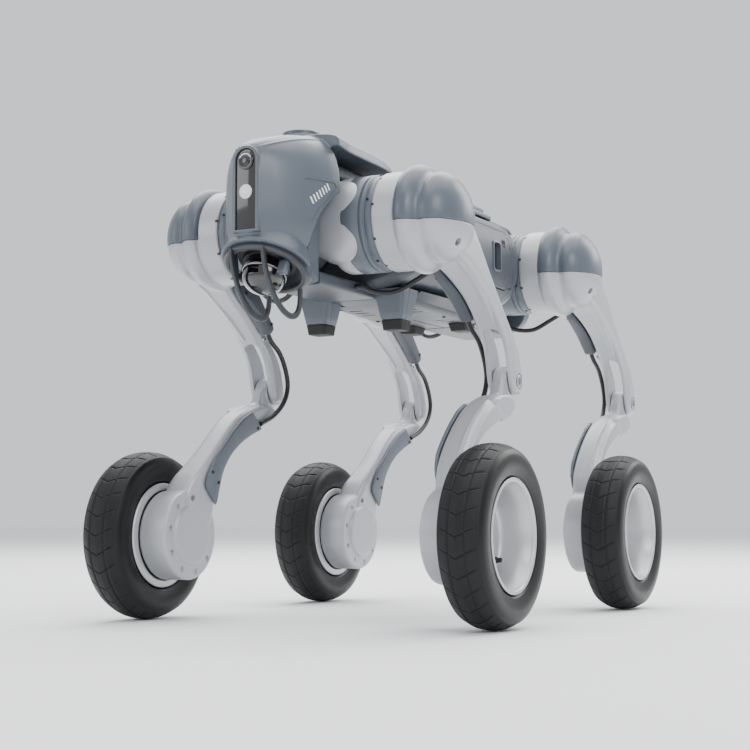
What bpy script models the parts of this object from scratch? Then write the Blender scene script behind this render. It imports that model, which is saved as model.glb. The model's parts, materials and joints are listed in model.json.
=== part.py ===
"""Wheeled quadruped robot. Metres. +X forward, +Y left, +Z up, tyres on z = 0."""
import math

import bmesh
import bpy
from mathutils import Matrix, Vector

# Overall layout
SHIFT_X = 0.011427
HIP_X = 0.1895               # hip axis, fore and aft of the middle
HIP_Z = 0.403                # height of the hip axes
ABDUCT_Y = 0.0456            # abduction axis, left and right of the middle
THIGH_LEN = 0.2112
THIGH_ANGLE = math.radians(43.67)   # backward of straight down
WHEEL_DX = 0.0125            # wheel axis ahead of the hip axis
WHEEL_Z = 0.089
WHEEL_Y = 0.2014
GAP = 0.0003
FLAT_DEG = 2.5               # faces this close to flat are merged

# Trunk
TRUNK_END = 0.1385
TRUNK_W = 0.0945
TRUNK_H = 0.0575
TRUNK_MID_Z = 0.4055
BEAM_W = 0.0275              # half width of the upper beams, clear of the hips when they swing out
FLANGE_X = 0.0498            # motor flange face, from the hip axis
BATTERY_X = (-0.104, 0.044)
BATTERY_Z = (0.372, 0.440)
BATTERY_IN = -0.055
SOCKET_X = -0.064
BUTTON_X = -0.086
BUTTON_R = 0.0048

# Head
NOSE_X = 0.3262
COLLAR = Vector((0.287, 0.0, 0.352))
TILT = math.radians(25)
COLLAR_R = 0.0435
LENS_Z = 0.449
LAMP_Z = 0.419
KNOB_X = 0.220
KNOB_R = 0.0193
KNOB_TOP = 0.499

# Leg
DRUM_R = 0.0495
BAND_R = 0.0500
BAND_IN, BAND_OUT = 0.0898, 0.1140
CAP_CUT_Z = 0.3955
CORE_A_R, CORE_A_OUT = 0.0432, 0.1337
CORE_B_R, CORE_B_OUT = 0.0377, 0.1497
TONGUE_IN, TONGUE_OUT = 0.1400, 0.1562
SLOT_IN, SLOT_OUT = 0.1390, 0.1572
SLOT_U = 0.160
PIN_R = 0.0060
BORE_R = 0.0063
HUB_R = 0.0470
HUB_IN, HUB_OUT = 0.1445, 0.1765
CABLE_R = 0.0028

COLORS = {
    "shell": ((0.21, 0.25, 0.30), 0.15, 0.38),
    "body": ((0.16, 0.19, 0.23), 0.1, 0.45),
    "dark": ((0.05, 0.055, 0.065), 0.0, 0.5),
    "silver": ((0.62, 0.64, 0.67), 0.35, 0.35),
    "alloy": ((0.70, 0.71, 0.73), 0.9, 0.28),
    "gloss_black": ((0.01, 0.01, 0.012), 0.0, 0.12),
    "rubber": ((0.02, 0.02, 0.022), 0.0, 0.6),
    "cable": ((0.012, 0.012, 0.013), 0.0, 0.5),
    "lamp": ((0.75, 0.78, 0.8), 0.0, 0.2),
}


def clear_scene():
    for obj in list(bpy.data.objects):
        bpy.data.objects.remove(obj, do_unlink=True)


def material(key):
    found = bpy.data.materials.get(key)
    if found:
        return found
    color, metallic, rough = COLORS[key]
    made = bpy.data.materials.new(key)
    made.use_nodes = True
    shader = made.node_tree.nodes["Principled BSDF"]
    shader.inputs["Base Color"].default_value = (*color, 1.0)
    shader.inputs["Metallic"].default_value = metallic
    shader.inputs["Roughness"].default_value = rough
    return made


# ---------------------------------------------------------------- mesh helpers
def to_object(bm, name):
    bmesh.ops.remove_doubles(bm, verts=bm.verts, dist=1e-7)
    bmesh.ops.recalc_face_normals(bm, faces=bm.faces)
    mesh = bpy.data.meshes.new(name)
    bm.to_mesh(mesh)
    bm.free()
    obj = bpy.data.objects.new(name, mesh)
    bpy.context.scene.collection.objects.link(obj)
    return obj


def loft(name, rings):
    """A closed solid through rings of equal length, with flat ends."""
    bm = bmesh.new()
    rows = [[bm.verts.new(p) for p in ring] for ring in rings]
    count = len(rows[0])
    for low, high in zip(rows, rows[1:]):
        for i in range(count):
            j = (i + 1) % count
            bm.faces.new((low[i], low[j], high[j], high[i]))
    bm.faces.new(list(reversed(rows[0])))
    bm.faces.new(rows[-1])
    return to_object(bm, name)


def revolve(name, profile, centre, axis, segments=32, start=0.0):
    """A solid of revolution. The profile is (radius, along) pairs, from axis to axis or closed on itself."""
    axis = Vector(axis).normalized()
    side = Vector((0, 0, 1)) if abs(axis.z) < 0.9 else Vector((1, 0, 0))
    first = (side - axis * side.dot(axis)).normalized()
    second = axis.cross(first)
    centre = Vector(centre)
    closed = profile[0][0] > 1e-9
    bm = bmesh.new()
    columns = []
    for radius, along in profile:
        at = centre + axis * along
        if radius <= 1e-9:
            columns.append([bm.verts.new(at)] * segments)
            continue
        ring = []
        for k in range(segments):
            turn = start + 2 * math.pi * k / segments
            ring.append(bm.verts.new(at + (first * math.cos(turn) + second * math.sin(turn)) * radius))
        columns.append(ring)
    pairs = list(zip(columns, columns[1:]))
    if closed:
        pairs.append((columns[-1], columns[0]))
    for a, b in pairs:
        for k in range(segments):
            m = (k + 1) % segments
            face = []
            for vert in (a[k], a[m], b[m], b[k]):
                if vert not in face:
                    face.append(vert)
            if len(face) > 2:
                bm.faces.new(face)
    return to_object(bm, name)


def block(name, low, high):
    x0, y0, z0 = low
    x1, y1, z1 = high
    rings = [[(x, y0, z0), (x, y1, z0), (x, y1, z1), (x, y0, z1)] for x in (x0, x1)]
    return loft(name, rings)


def prism_y(name, outline, y0, y1):
    """Extrudes an (x, z) outline along Y."""
    return loft(name, [[(x, y, z) for x, z in outline] for y in (y0, y1)])


def prism_x(name, outline, x0, x1):
    """Extrudes a (y, z) outline along X."""
    return loft(name, [[(x, y, z) for y, z in outline] for x in (x0, x1)])


def tube(name, points, radius, sides=6):
    """A solid cable along a smooth path."""
    rings = []
    up = Vector((0, 1, 0))
    for i, point in enumerate(points):
        ahead = points[min(i + 1, len(points) - 1)] - points[max(i - 1, 0)]
        ahead.normalize()
        across = (up - ahead * up.dot(ahead)).normalized()
        other = ahead.cross(across)
        ring = []
        for k in range(sides):
            turn = 2 * math.pi * k / sides
            ring.append(point + (across * math.cos(turn) + other * math.sin(turn)) * radius)
        rings.append(ring)
    return loft(name, rings)


def smooth_path(route, steps):
    """Catmull-Rom points through the route."""
    pts = [Vector(p) for p in route]
    pts = [pts[0] * 2 - pts[1]] + pts + [pts[-1] * 2 - pts[-2]]
    out = []
    for i in range(1, len(pts) - 2):
        a, b, c, d = pts[i - 1:i + 3]
        for k in range(steps):
            t = k / steps
            out.append(0.5 * (2 * b + (c - a) * t + (2 * a - 5 * b + 4 * c - d) * t ** 2
                              + (3 * b - a - 3 * c + d) * t ** 3))
    out.append(pts[-2])
    return out


def combine(target, other, operation):
    """Applies one exact Boolean and drops the other object."""
    mod = target.modifiers.new("cut", "BOOLEAN")
    mod.operation = operation
    mod.solver = "EXACT"
    mod.object = other
    graph = bpy.context.evaluated_depsgraph_get()
    mesh = bpy.data.meshes.new_from_object(target.evaluated_get(graph))
    target.modifiers.clear()
    old = target.data
    target.data = mesh
    bpy.data.meshes.remove(old)
    bpy.data.objects.remove(other, do_unlink=True)
    return target


def join(target, other):
    return combine(target, other, "UNION")


def cut(target, other):
    return combine(target, other, "DIFFERENCE")


def keep(target, other):
    return combine(target, other, "INTERSECT")


def tidy_mesh(mesh):
    bm = bmesh.new()
    bm.from_mesh(mesh)
    bmesh.ops.remove_doubles(bm, verts=bm.verts, dist=2e-6)
    bmesh.ops.dissolve_limit(bm, angle_limit=math.radians(FLAT_DEG), verts=bm.verts, edges=bm.edges)
    bmesh.ops.triangulate(bm, faces=bm.faces, quad_method="BEAUTY", ngon_method="BEAUTY")
    bm.to_mesh(mesh)
    bm.free()


def finish(obj, name, key, origin, mirror_y=False, mirror_x=False, shift=0.0):
    """Turns a template into a placed node: mirrored, moved along X and with its origin on its joint axis."""
    mesh = obj.data.copy()
    flip = Matrix.Diagonal((-1 if mirror_x else 1, -1 if mirror_y else 1, 1, 1))
    origin = Vector(origin)
    mesh.transform(Matrix.Translation(-origin) @ Matrix.Translation((shift + SHIFT_X, 0, 0)) @ flip)
    if mirror_x != mirror_y:
        mesh.flip_normals()
    node = bpy.data.objects.new(name, mesh)
    node.location = origin
    bpy.context.scene.collection.objects.link(node)
    mesh.materials.clear()
    mesh.materials.append(material(key))
    for polygon in mesh.polygons:
        polygon.use_smooth = True
    mesh.set_sharp_from_angle(angle=math.radians(35))
    return node


def done(obj, name, key, origin=(0, 0, 0)):
    tidy_mesh(obj.data)
    node = finish(obj, name, key, origin)
    bpy.data.objects.remove(obj, do_unlink=True)
    return node


def squircle(width, height, power, count):
    """(a, b) points of a superellipse, counter-clockwise."""
    out = []
    for k in range(count):
        turn = 2 * math.pi * k / count
        c, s = math.cos(turn), math.sin(turn)
        out.append((width * math.copysign(abs(c) ** (2 / power), c),
                    height * math.copysign(abs(s) ** (2 / power), s)))
    return out


def trunk_ring(x, scale, grow=0.0, count=24):
    width, height = TRUNK_W * scale + grow, TRUNK_H * scale + grow
    return [(x, a, TRUNK_MID_Z + b) for a, b in squircle(width, height, 3.0, count)]


def trunk_solid(name, grow=0.0):
    ends = [(-TRUNK_END, 0.90), (-0.133, 0.965), (-0.122, 1.0), (0.122, 1.0), (0.133, 0.965), (TRUNK_END, 0.90)]
    return loft(name, [trunk_ring(x, s, grow) for x, s in ends])


def rounded_box(name, low, high, radius, axis="x", corner=2):
    """A box with four rounded long edges."""
    a0, a1 = (1, 2) if axis == "x" else ((0, 2) if axis == "y" else (0, 1))
    lo, hi = (low[a0], low[a1]), (high[a0], high[a1])
    outline = []
    for ca, cb, start in ((hi[0] - radius, hi[1] - radius, 0), (lo[0] + radius, hi[1] - radius, 90),
                          (lo[0] + radius, lo[1] + radius, 180), (hi[0] - radius, lo[1] + radius, 270)):
        for k in range(corner + 1):
            turn = math.radians(start + 90 * k / corner)
            outline.append((ca + radius * math.cos(turn), cb + radius * math.sin(turn)))
    if axis == "x":
        return prism_x(name, outline, low[0], high[0])
    if axis == "y":
        return prism_y(name, outline, low[1], high[1])
    return loft(name, [[(a, b, z) for a, b in outline] for z in (low[2], high[2])])


# ---------------------------------------------------------------- trunk
def make_chassis():
    body = trunk_solid("chassis_t")
    # flat seats for the deck plate and the belly pan
    cut(body, block("deck_seat", (-0.131, -0.066, 0.4600), (0.090, 0.066, 0.480)))
    cut(body, block("belly_seat", (-0.145, -0.070, 0.330), (0.145, 0.070, 0.3495)))
    beams = (((0.120, -BEAM_W, 0.4540), (0.262, BEAM_W, 0.4700)), ((0.1200, -0.034, 0.3380), (0.2400, 0.034, 0.3515)),
             ((-0.255, -BEAM_W, 0.4540), (-0.1300, BEAM_W, 0.4630)),
             ((-0.255, -0.034, 0.3340), (-0.120, 0.034, 0.3515)))
    for low, high in beams:
        join(body, rounded_box("beam", low, high, 0.004))
    for end in (1, -1):
        for side in (1, -1):
            face = end * (HIP_X - FLANGE_X)
            back = end * 0.115
            length = abs(face - back)
            profile = [(0, 0), (0.030, 0), (0.030, length), (0, length)]
            join(body, revolve("flange", profile, (back, side * ABDUCT_Y, HIP_Z), (end, 0, 0), 16))
    bay = block("bay", (BATTERY_X[0] - GAP, BATTERY_IN - GAP, BATTERY_Z[0] - GAP),
                (BATTERY_X[1] + GAP, 0.12, BATTERY_Z[1] + GAP))
    cut(body, bay)
    for x in (-0.118, 0.062, 0.098):
        for side in (1, -1):
            cut(body, block("slot", (x, side * 0.094 - 0.006, 0.3730), (x + 0.012, side * 0.094 + 0.006, 0.3765)))
    return done(body, "chassis", "body")


def make_battery():
    body = trunk_solid("battery_t")
    keep(body, block("batt_box", (BATTERY_X[0], BATTERY_IN, BATTERY_Z[0]), (BATTERY_X[1], 0.12, BATTERY_Z[1])))
    recess = rounded_box("socket", (SOCKET_X - 0.0095, 0.080, 0.3900), (SOCKET_X + 0.0095, 0.12, 0.4220), 0.004,
                         "y", 3)
    cut(body, recess)
    cut(body, revolve("well", [(0, 0), (BUTTON_R + GAP, 0), (BUTTON_R + GAP, 0.03), (0, 0.03)],
                      (BUTTON_X, 0.0875, 0.424), (0, 1, 0), 20))
    done(body, "battery", "body")
    button = revolve("button_t", [(0, 0.0014), (BUTTON_R, 0.0014), (BUTTON_R, 0.0055), (BUTTON_R - 0.0012, 0.0064),
                                  (0, 0.0066)], (BUTTON_X, 0.0875, 0.424), (0, 1, 0), 20)
    done(button, "power_button", "dark", (BUTTON_X + SHIFT_X, 0.0889, 0.424))


def make_deck():
    plate = rounded_box("deck_t", (-0.128, -0.063, 0.4603), (0.086, 0.063, 0.4655), 0.010, "z", 3)
    for side in (1, -1):
        y0, y1 = sorted((side * 0.033, side * 0.053))
        join(plate, rounded_box("rail", (-0.122, y0, 0.4608), (0.070, y1, 0.4760), 0.004, "x", 3))
        cut(plate, block("rail_slot", (-0.13, side * 0.043 - 0.0025, 0.4700), (0.08, side * 0.043 + 0.0025, 0.480)))
    return done(plate, "deck_plate", "shell")


def make_belly():
    def ring(x, top_w, low_w, low_z):
        return [(x, -top_w, 0.3492), (x, -low_w, low_z + 0.006), (x, -low_w + 0.008, low_z),
                (x, low_w - 0.008, low_z), (x, low_w, low_z + 0.006), (x, top_w, 0.3492)]
    rings = [ring(-0.128, 0.052, 0.046, 0.3380), ring(-0.120, 0.066, 0.052, 0.3345),
             ring(-0.050, 0.068, 0.054, 0.3345), ring(0.020, 0.068, 0.052, 0.3360),
             ring(0.105, 0.066, 0.050, 0.3395), ring(0.1090, 0.062, 0.047, 0.3405)]
    pan = loft("belly_t", rings)
    for side in (1, -1):
        y0, y1 = sorted((side * 0.0265, side * 0.10))
        cut(pan, block("foot_gap", (0.0775, y0, 0.300), (0.150, y1, 0.3600)))
    cut(pan, block("tail_gap", (-0.150, -0.0343, 0.3290), (-0.1195, 0.0343, 0.36)))
    cut(pan, block("keel", (-0.20, -0.0012, 0.300), (0.20, 0.0012, 0.3370)))
    return done(pan, "belly_pan", "body")


def taper_block(name, centre, top, bottom, z_top, z_bottom):
    rings = []
    for half, z in ((bottom, z_bottom), (top, z_top)):
        ring = []
        for a, b in ((1, 1), (-1, 1), (-1, -1), (1, -1)):
            cx, cy = a * half[0], b * half[1]
            ch = 0.003
            first, second = ((cx, cy - b * ch), (cx - a * ch, cy))
            if a * b < 0:
                first, second = second, first
            ring += [(centre[0] + first[0], centre[1] + first[1], z), (centre[0] + second[0], centre[1] + second[1], z)]
        rings.append(ring)
    return loft(name, rings)


def make_feet():
    for side, word in ((1, "left"), (-1, "right")):
        at = (0.0980, side * 0.0460)
        foot = taper_block("foot_t", at, (0.0195, 0.0185), (0.0135, 0.0125), 0.3492, 0.3165)
        done(foot, "front_foot_" + word, "shell")
        tip = taper_block("tip_t", at, (0.0133, 0.0123), (0.0118, 0.0108), 0.3162, 0.3055)
        done(tip, "front_tip_" + word, "rubber")
        rear = taper_block("rear_t", (-0.1000, side * 0.0330), (0.0165, 0.0115), (0.0130, 0.0095),
                           0.3342, 0.3255)
        done(rear, "rear_tip_" + word, "rubber")


def make_tail():
    def ring(x, w, z0, z1):
        return [(x, a, (z0 + z1) / 2 + b) for a, b in squircle(w, (z1 - z0) / 2, 4.0, 24)]
    shell = loft("tail_t", [ring(-0.2425, 0.058, 0.338, 0.460), ring(-0.255, 0.058, 0.338, 0.460),
                            ring(-0.268, 0.053, 0.344, 0.454), ring(-0.2745, 0.044, 0.352, 0.444)])
    # the hips swing under the sloping sides of the top
    outline = ((1, 0.0292, 0.4535), (1, 0.0440, 0.4676), (1, 0.0400, 0.4712), (-1, 0.0400, 0.4712),
               (-1, 0.0440, 0.4676), (-1, 0.0292, 0.4535))
    top = loft("tail_top", [[(x, side * (y - narrow), 0.4535 + (z - 0.4535) * rise) for side, y, z in outline]
                            for x, narrow, rise in ((-0.1390, 0.0, 1.0), (-0.225, 0.001, 0.97), (-0.262, 0.004, 0.30))])
    join(shell, top)
    gap = BEAM_W + GAP
    for low, high in (((-0.2553, -gap, 0.4537), (-0.10, gap, 0.4633)),
                      ((-0.2553, -0.0343, 0.3297), (-0.10, 0.0343, 0.3518))):
        cut(shell, rounded_box("beam_gap", low, high, 0.0043))
    for z in (0.385, 0.405, 0.425):
        cut(shell, block("vent", (-0.30, -0.026, z - 0.0015), (-0.271, 0.026, z + 0.0015)))
    return done(shell, "tail_cover", "shell")


# ---------------------------------------------------------------- head
HOOD = (  # x, half width, underside z, top z, roundness
    (0.3262, 0.0150, 0.3800, 0.4620, 3.2), (0.3225, 0.0190, 0.3740, 0.4665, 3.0),
    (0.3120, 0.0300, 0.3665, 0.4720, 2.8), (0.2980, 0.0405, 0.3590, 0.4775, 2.8),
    (0.2800, 0.0510, 0.3500, 0.4830, 2.9), (0.2620, 0.0580, 0.3420, 0.4865, 3.0),
    (0.2470, 0.0610, 0.3350, 0.4885, 3.2),
)
CANOPY = ((0.2480, 0.0600, 0.4885), (0.2300, 0.0565, 0.4900), (0.2100, 0.0530, 0.4905), (0.1700, 0.0510, 0.4905),
          (0.1300, 0.0490, 0.4880), (0.1050, 0.0450, 0.4830), (0.0890, 0.0380, 0.4760))


def hood_ring(x, w, z0, z1, power, count=28):
    return [(x, a, (z0 + z1) / 2 + b) for a, b in squircle(w, (z1 - z0) / 2, power, count)]


def canopy_ring(x, w, top, low=0.4735):
    pts = [(x, -w, low), (x, -w, low + 0.003)]
    for k in range(1, 6):
        t = -1 + k / 3
        pts.append((x, t * w * 0.97, low + 0.003 + (top - low - 0.003) * (1 - abs(t) ** 2.6)))
    pts += [(x, w, low + 0.003), (x, w, low)]
    return pts


def collar_frame():
    down = Vector((math.sin(TILT), 0, -math.cos(TILT)))
    return COLLAR, down


def make_head():
    head = loft("head_t", [hood_ring(*row) for row in HOOD])
    join(head, loft("canopy", [canopy_ring(*row) for row in CANOPY]))
    centre, down = collar_frame()
    # the collar: a lip round the opening that the lidar hangs in
    lip = revolve("lip", [(0, -0.020), (0.0400, -0.020), (0.0455, -0.004), (0.0462, -0.0015), (0.0455, 0.0),
                          (0, 0.0)], centre, down, 28)
    join(head, lip)
    low = centre + down * 0.0001
    slab = prism_y("slab", [(low.x - 0.2 * math.cos(TILT), low.z - 0.2 * math.sin(TILT)),
                            (low.x + 0.2 * math.cos(TILT), low.z + 0.2 * math.sin(TILT)),
                            (low.x + 0.3, low.z - 0.2), (low.x - 0.2, low.z - 0.3)], -0.2, 0.2)
    cut(head, slab)
    # rear edge of the cheeks, an arc ahead of the hip joints
    arc = [(0.278, 0.300), (0.2800, 0.370), (0.2785, 0.388), (0.2720, 0.404), (0.2590, 0.418), (0.2460, 0.428),
           (0.2380, 0.445), (0.2250, 0.466), (0.2180, 0.4736), (0.05, 0.4736), (0.05, 0.300)]
    for side in (1, -1):
        y0, y1 = sorted((side * 0.0360, side * 0.12))
        cut(head, prism_y("cheek_cut", arc, y0, y1))
    # hollow of the head, open downward and to the rear
    inner = revolve("well", [(0, -0.060), (0.0370, -0.060), (0.0370, 0.05), (0, 0.05)], centre, down, 24)
    cut(head, inner)
    gap = BEAM_W + GAP
    cut(head, rounded_box("neck_gap", (0.20, -gap, 0.4537), (0.2623, gap, 0.4703), 0.0043))
    cut(head, block("strip_seat", (NOSE_X - 0.0042, -0.01155, 0.3822), (0.34, 0.01155, 0.4497)))
    cut(head, revolve("strip_round", [(0, 0), (0.01155, 0), (0.01155, 0.02), (0, 0.02)],
                      (NOSE_X - 0.0042, 0, 0.4495), (1, 0, 0), 24))
    return done(head, "head_shell", "shell")


def make_face():
    outline = [(-0.01125, 0.3825), (0.01125, 0.3825), (0.01125, 0.4495)]
    for k in range(1, 12):
        turn = math.pi * k / 12
        outline.append((0.01125 * math.cos(turn), 0.4495 + 0.01125 * math.sin(turn)))
    outline.append((-0.01125, 0.4495))
    done(prism_x("window_t", outline, NOSE_X - 0.0039, NOSE_X - 0.0010), "face_window", "gloss_black")
    face = NOSE_X - 0.0010 + GAP
    lens = [(0, 0), (0.0085, 0), (0.0085, 0.0010), (0.0076, 0.0016), (0.0050, 0.0014), (0.0042, 0.0008), (0, 0.0012)]
    done(revolve("lens_t", lens, (face, 0, LENS_Z), (1, 0, 0), 20), "camera_lens", "gloss_black")
    lamp = [(0, 0), (0.0070, 0), (0.0070, 0.0006), (0.0062, 0.0011), (0, 0.0012)]
    done(revolve("lamp_t", lamp, (face, 0, LAMP_Z), (1, 0, 0), 16), "face_lamp", "lamp")
    knob = [(0, 0.4908), (0.0212, 0.4908), (0.0208, 0.4930), (KNOB_R, 0.4945), (KNOB_R, KNOB_TOP - 0.0012),
            (KNOB_R - 0.0012, KNOB_TOP), (0, KNOB_TOP)]
    done(revolve("knob_t", knob, (KNOB_X, 0, 0), (0, 0, 1), 28), "top_knob", "shell")


def hoop_points(y):
    centre, down = collar_frame()
    along = Vector((math.cos(TILT), 0, math.sin(TILT)))
    out = []
    for k in range(12):
        turn = math.pi * (k / 11)
        fall = Vector((-0.10, 0, -0.995)) * (0.0425 * math.sin(turn) ** 0.85)
        at = centre + down * 0.0040 + along * (0.0380 * math.cos(turn)) + fall
        out.append(Vector((at.x, y, at.z)))
    return out


def flat_tube(name, points, half_y, half_n):
    rings = []
    side = Vector((0, 1, 0))
    for i, point in enumerate(points):
        ahead = (points[min(i + 1, len(points) - 1)] - points[max(i - 1, 0)]).normalized()
        out = ahead.cross(side).normalized()
        rings.append([point + side * half_y * a + out * half_n * b
                      for a, b in ((1, 0.6), (0, 1), (-1, 0.6), (-1, -0.6), (0, -1), (1, -0.6))])
    return loft(name, rings)


def make_lidar():
    centre, down = collar_frame()
    guard = revolve("guard_t", [(0.0362, 0.0003), (0.0420, 0.0003), (0.0422, 0.0050), (0.0370, 0.0062)], centre, down, 28)
    for side in (1, -1):
        join(guard, flat_tube("hoop", hoop_points(side * 0.018), 0.0022, 0.0026))
    done(guard, "lidar_guard", "shell")
    base = revolve("base_t", [(0, -0.030), (0.0300, -0.030), (0.0300, -0.0040), (0.0240, 0.0), (0.0, 0.0)],
                   centre, down, 20)
    done(base, "lidar_base", "dark")
    rotor = revolve("rotor_t", [(0, 0.0004), (0.0190, 0.0004), (0.0215, 0.0040), (0.0215, 0.0125), (0.0195, 0.0200),
                                (0.0140, 0.0260), (0.0070, 0.0285), (0, 0.0290)], centre, down, 24)
    window = block("window", (-0.004, -0.05, -0.006), (0.004, 0.05, 0.006))
    window.data.transform(Matrix.Translation(centre + down * 0.014) @ Matrix.Rotation(TILT, 4, "Y")
                          @ Matrix.Translation((0.0230, 0, 0)) @ Matrix.Diagonal((1, 0.14, 1, 1)))
    cut(rotor, window)
    done(rotor, "lidar_rotor", "gloss_black", centre + Vector((SHIFT_X, 0, 0)))


# ---------------------------------------------------------------- leg (front left template)
HIP = Vector((HIP_X, 0, HIP_Z))
THIGH_DOWN = Vector((-math.sin(THIGH_ANGLE), 0, -math.cos(THIGH_ANGLE)))
THIGH_FRONT = Vector((math.cos(THIGH_ANGLE), 0, -math.sin(THIGH_ANGLE)))
KNEE = HIP + THIGH_DOWN * THIGH_LEN
WHEEL = Vector((HIP_X + WHEEL_DX, 0, WHEEL_Z))
CALF_DOWN = (WHEEL - KNEE).normalized()
CALF_FRONT = Vector((-CALF_DOWN.z, 0, CALF_DOWN.x))
CALF_LEN = (WHEEL - KNEE).length

THIGH_ROWS = (  # u, rear v, front v, inner y, outer y
    (0.010, -0.0270, 0.0330, 0.1180, 0.1630), (0.030, -0.0245, 0.0250, 0.1215, 0.1645),
    (0.055, -0.0242, 0.0130, 0.1265, 0.1648), (0.080, -0.0240, 0.0045, 0.1303, 0.1648),
    (0.105, -0.0243, -0.0032, 0.1315, 0.1648), (0.130, -0.0252, -0.0072, 0.1317, 0.1648),
    (0.150, -0.0262, -0.0080, 0.1317, 0.1648), (0.168, -0.0272, -0.0062, 0.1317, 0.1648),
    (0.182, -0.0270, -0.0008, 0.1317, 0.1648), (0.195, -0.0240, 0.0065, 0.1317, 0.1648),
    (0.206, -0.0185, 0.0125, 0.1317, 0.1648), (0.2165, -0.0130, 0.0135, 0.1320, 0.1645),
    (0.2245, -0.0060, 0.0075, 0.1330, 0.1635))
CALF_ROWS = (  # u, rear v, front v, inner y, outer y
    (0.0205, -0.0160, -0.0040, 0.1330, 0.1625), (0.0290, -0.0155, 0.0065, 0.1322, 0.1635),
    (0.0350, -0.0142, 0.0126, 0.1320, 0.1635), (0.0450, -0.0102, 0.0197, 0.1320, 0.1635),
    (0.0650, 0.0000, 0.0302, 0.1320, 0.1635), (0.0800, 0.0072, 0.0355, 0.1320, 0.1635),
    (0.0950, 0.0134, 0.0385, 0.1320, 0.1635), (0.1100, 0.0182, 0.0403, 0.1320, 0.1635),
    (0.1300, 0.0212, 0.0415, 0.1322, 0.1642), (0.1500, 0.0180, 0.0425, 0.1335, 0.1660),
    (0.1680, 0.0070, 0.0432, 0.1360, 0.1690), (0.1870, -0.0140, 0.0425, 0.1400, 0.1735),
    (0.2180, -0.0300, 0.0330, 0.1440, 0.1760))


def round_rect(half_a, half_b, radius, per_corner):
    """(a, b) points of a rectangle with rounded corners, counter-clockwise."""
    out = []
    radius = min(radius, half_a * 0.98, half_b * 0.98)
    for sa, sb, start in ((1, 1, 0), (-1, 1, 90), (-1, -1, 180), (1, -1, 270)):
        for k in range(per_corner):
            turn = math.radians(start + 90 * k / (per_corner - 1))
            out.append((sa * (half_a - radius) + radius * math.cos(turn), sb * (half_b - radius) + radius * math.sin(turn)))
    return out


def leg_ring(origin, down, front, u, v0, v1, y0, y1, radius=0.009, per_corner=3):
    vm, ym = (v0 + v1) / 2, (y0 + y1) / 2
    ring = []
    for a, b in round_rect((v1 - v0) / 2, (y1 - y0) / 2, radius, per_corner):
        at = origin + down * u + front * (vm + a)
        ring.append((at.x, ym + b, at.z))
    return ring


def y_disc(name, centre, radius, y0, y1, edge=0.0, segments=20):
    profile = [(0, y0), (radius - edge, y0), (radius, y0 + edge), (radius, y1 - edge), (radius - edge, y1), (0, y1)]
    if edge == 0:
        profile = [(0, y0), (radius, y0), (radius, y1), (0, y1)]
    return revolve(name, profile, (centre.x, 0, centre.z), (0, 1, 0), segments)


CAP_PROFILE = ((0.1143, 0.0506), (0.1190, 0.0541), (0.1245, 0.0548), (0.1310, 0.0528), (0.1370, 0.0472), (0.1440, 0.0460),
               (0.1550, 0.0415), (0.1650, 0.0310), (0.1735, 0.0110))


def cap_revolve(name, grow, y_first):
    profile = [(0, y_first)]
    for y, r in CAP_PROFILE:
        profile.append((r + grow, max(y, y_first) if y == CAP_PROFILE[0][0] else y))
    profile.append((0, CAP_PROFILE[-1][0] + 0.0004 + grow))
    return revolve(name, profile, (HIP.x, 0, HIP.z), (0, 1, 0), 20)


def half_space(name, z0, z1):
    return block(name, (HIP.x - 0.09, 0.10, z0), (HIP.x + 0.09, 0.20, z1))


def make_hip():
    barrel = [(0, -FLANGE_X + GAP), (0.0300, -FLANGE_X + GAP), (0.0390, -0.0465), (0.0425, -0.0400), (0.0425, 0.0240),
              (0.0395, 0.0370), (0.0320, 0.0448), (0.0180, 0.0486), (0, 0.0492)]
    hip = revolve("hip_t", barrel, (HIP_X, ABDUCT_Y, HIP_Z), (1, 0, 0), 20)
    join(hip, y_disc("drum", HIP, DRUM_R, 0.0470, 0.0800, 0.0012))
    join(hip, y_disc("ring", HIP, DRUM_R - 0.0012, 0.0790, BAND_IN - GAP, 0.0))
    return hip


def make_thigh():
    thigh = loft("thigh_t", [leg_ring(HIP, THIGH_DOWN, THIGH_FRONT, *row) for row in THIGH_ROWS])
    lower = cap_revolve("lower", -0.0004, 0.1132)
    cut(lower, half_space("above", CAP_CUT_Z - GAP, 0.50))
    join(thigh, lower)
    above = cap_revolve("above_cap", 0.004, 0.1141)
    cut(above, half_space("under", 0.30, CAP_CUT_Z - GAP))
    cut(thigh, above)
    core = [(0, BAND_IN), (BAND_R, BAND_IN), (BAND_R, BAND_OUT), (CORE_A_R, BAND_OUT), (CORE_A_R, CORE_A_OUT),
            (CORE_B_R, CORE_A_OUT), (CORE_B_R, CORE_B_OUT), (0, CORE_B_OUT)]
    join(thigh, revolve("core", core, (HIP.x, 0, HIP.z), (0, 1, 0), 20, 0.03))
    slot = [KNEE - THIGH_DOWN * (THIGH_LEN - SLOT_U) + THIGH_FRONT * 0.05, KNEE + THIGH_DOWN * 0.04 + THIGH_FRONT * 0.05,
            KNEE + THIGH_DOWN * 0.04 - THIGH_FRONT * 0.05, KNEE - THIGH_DOWN * (THIGH_LEN - SLOT_U) - THIGH_FRONT * 0.05]
    cut(thigh, prism_y("slot", [(p.x, p.z) for p in slot], SLOT_IN, SLOT_OUT))
    cut(thigh, y_disc("bore", KNEE, BORE_R, 0.10, 0.20, 0.0, 14))
    cut(thigh, y_disc("counterbore", KNEE, 0.0085, 0.1632, 0.20, 0.0, 14))
    screw = HIP + THIGH_DOWN * 0.0125 + THIGH_FRONT * 0.0265
    cut(thigh, y_disc("screw", screw, 0.0032, 0.1500, 0.20, 0.0, 12))
    return thigh


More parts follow.
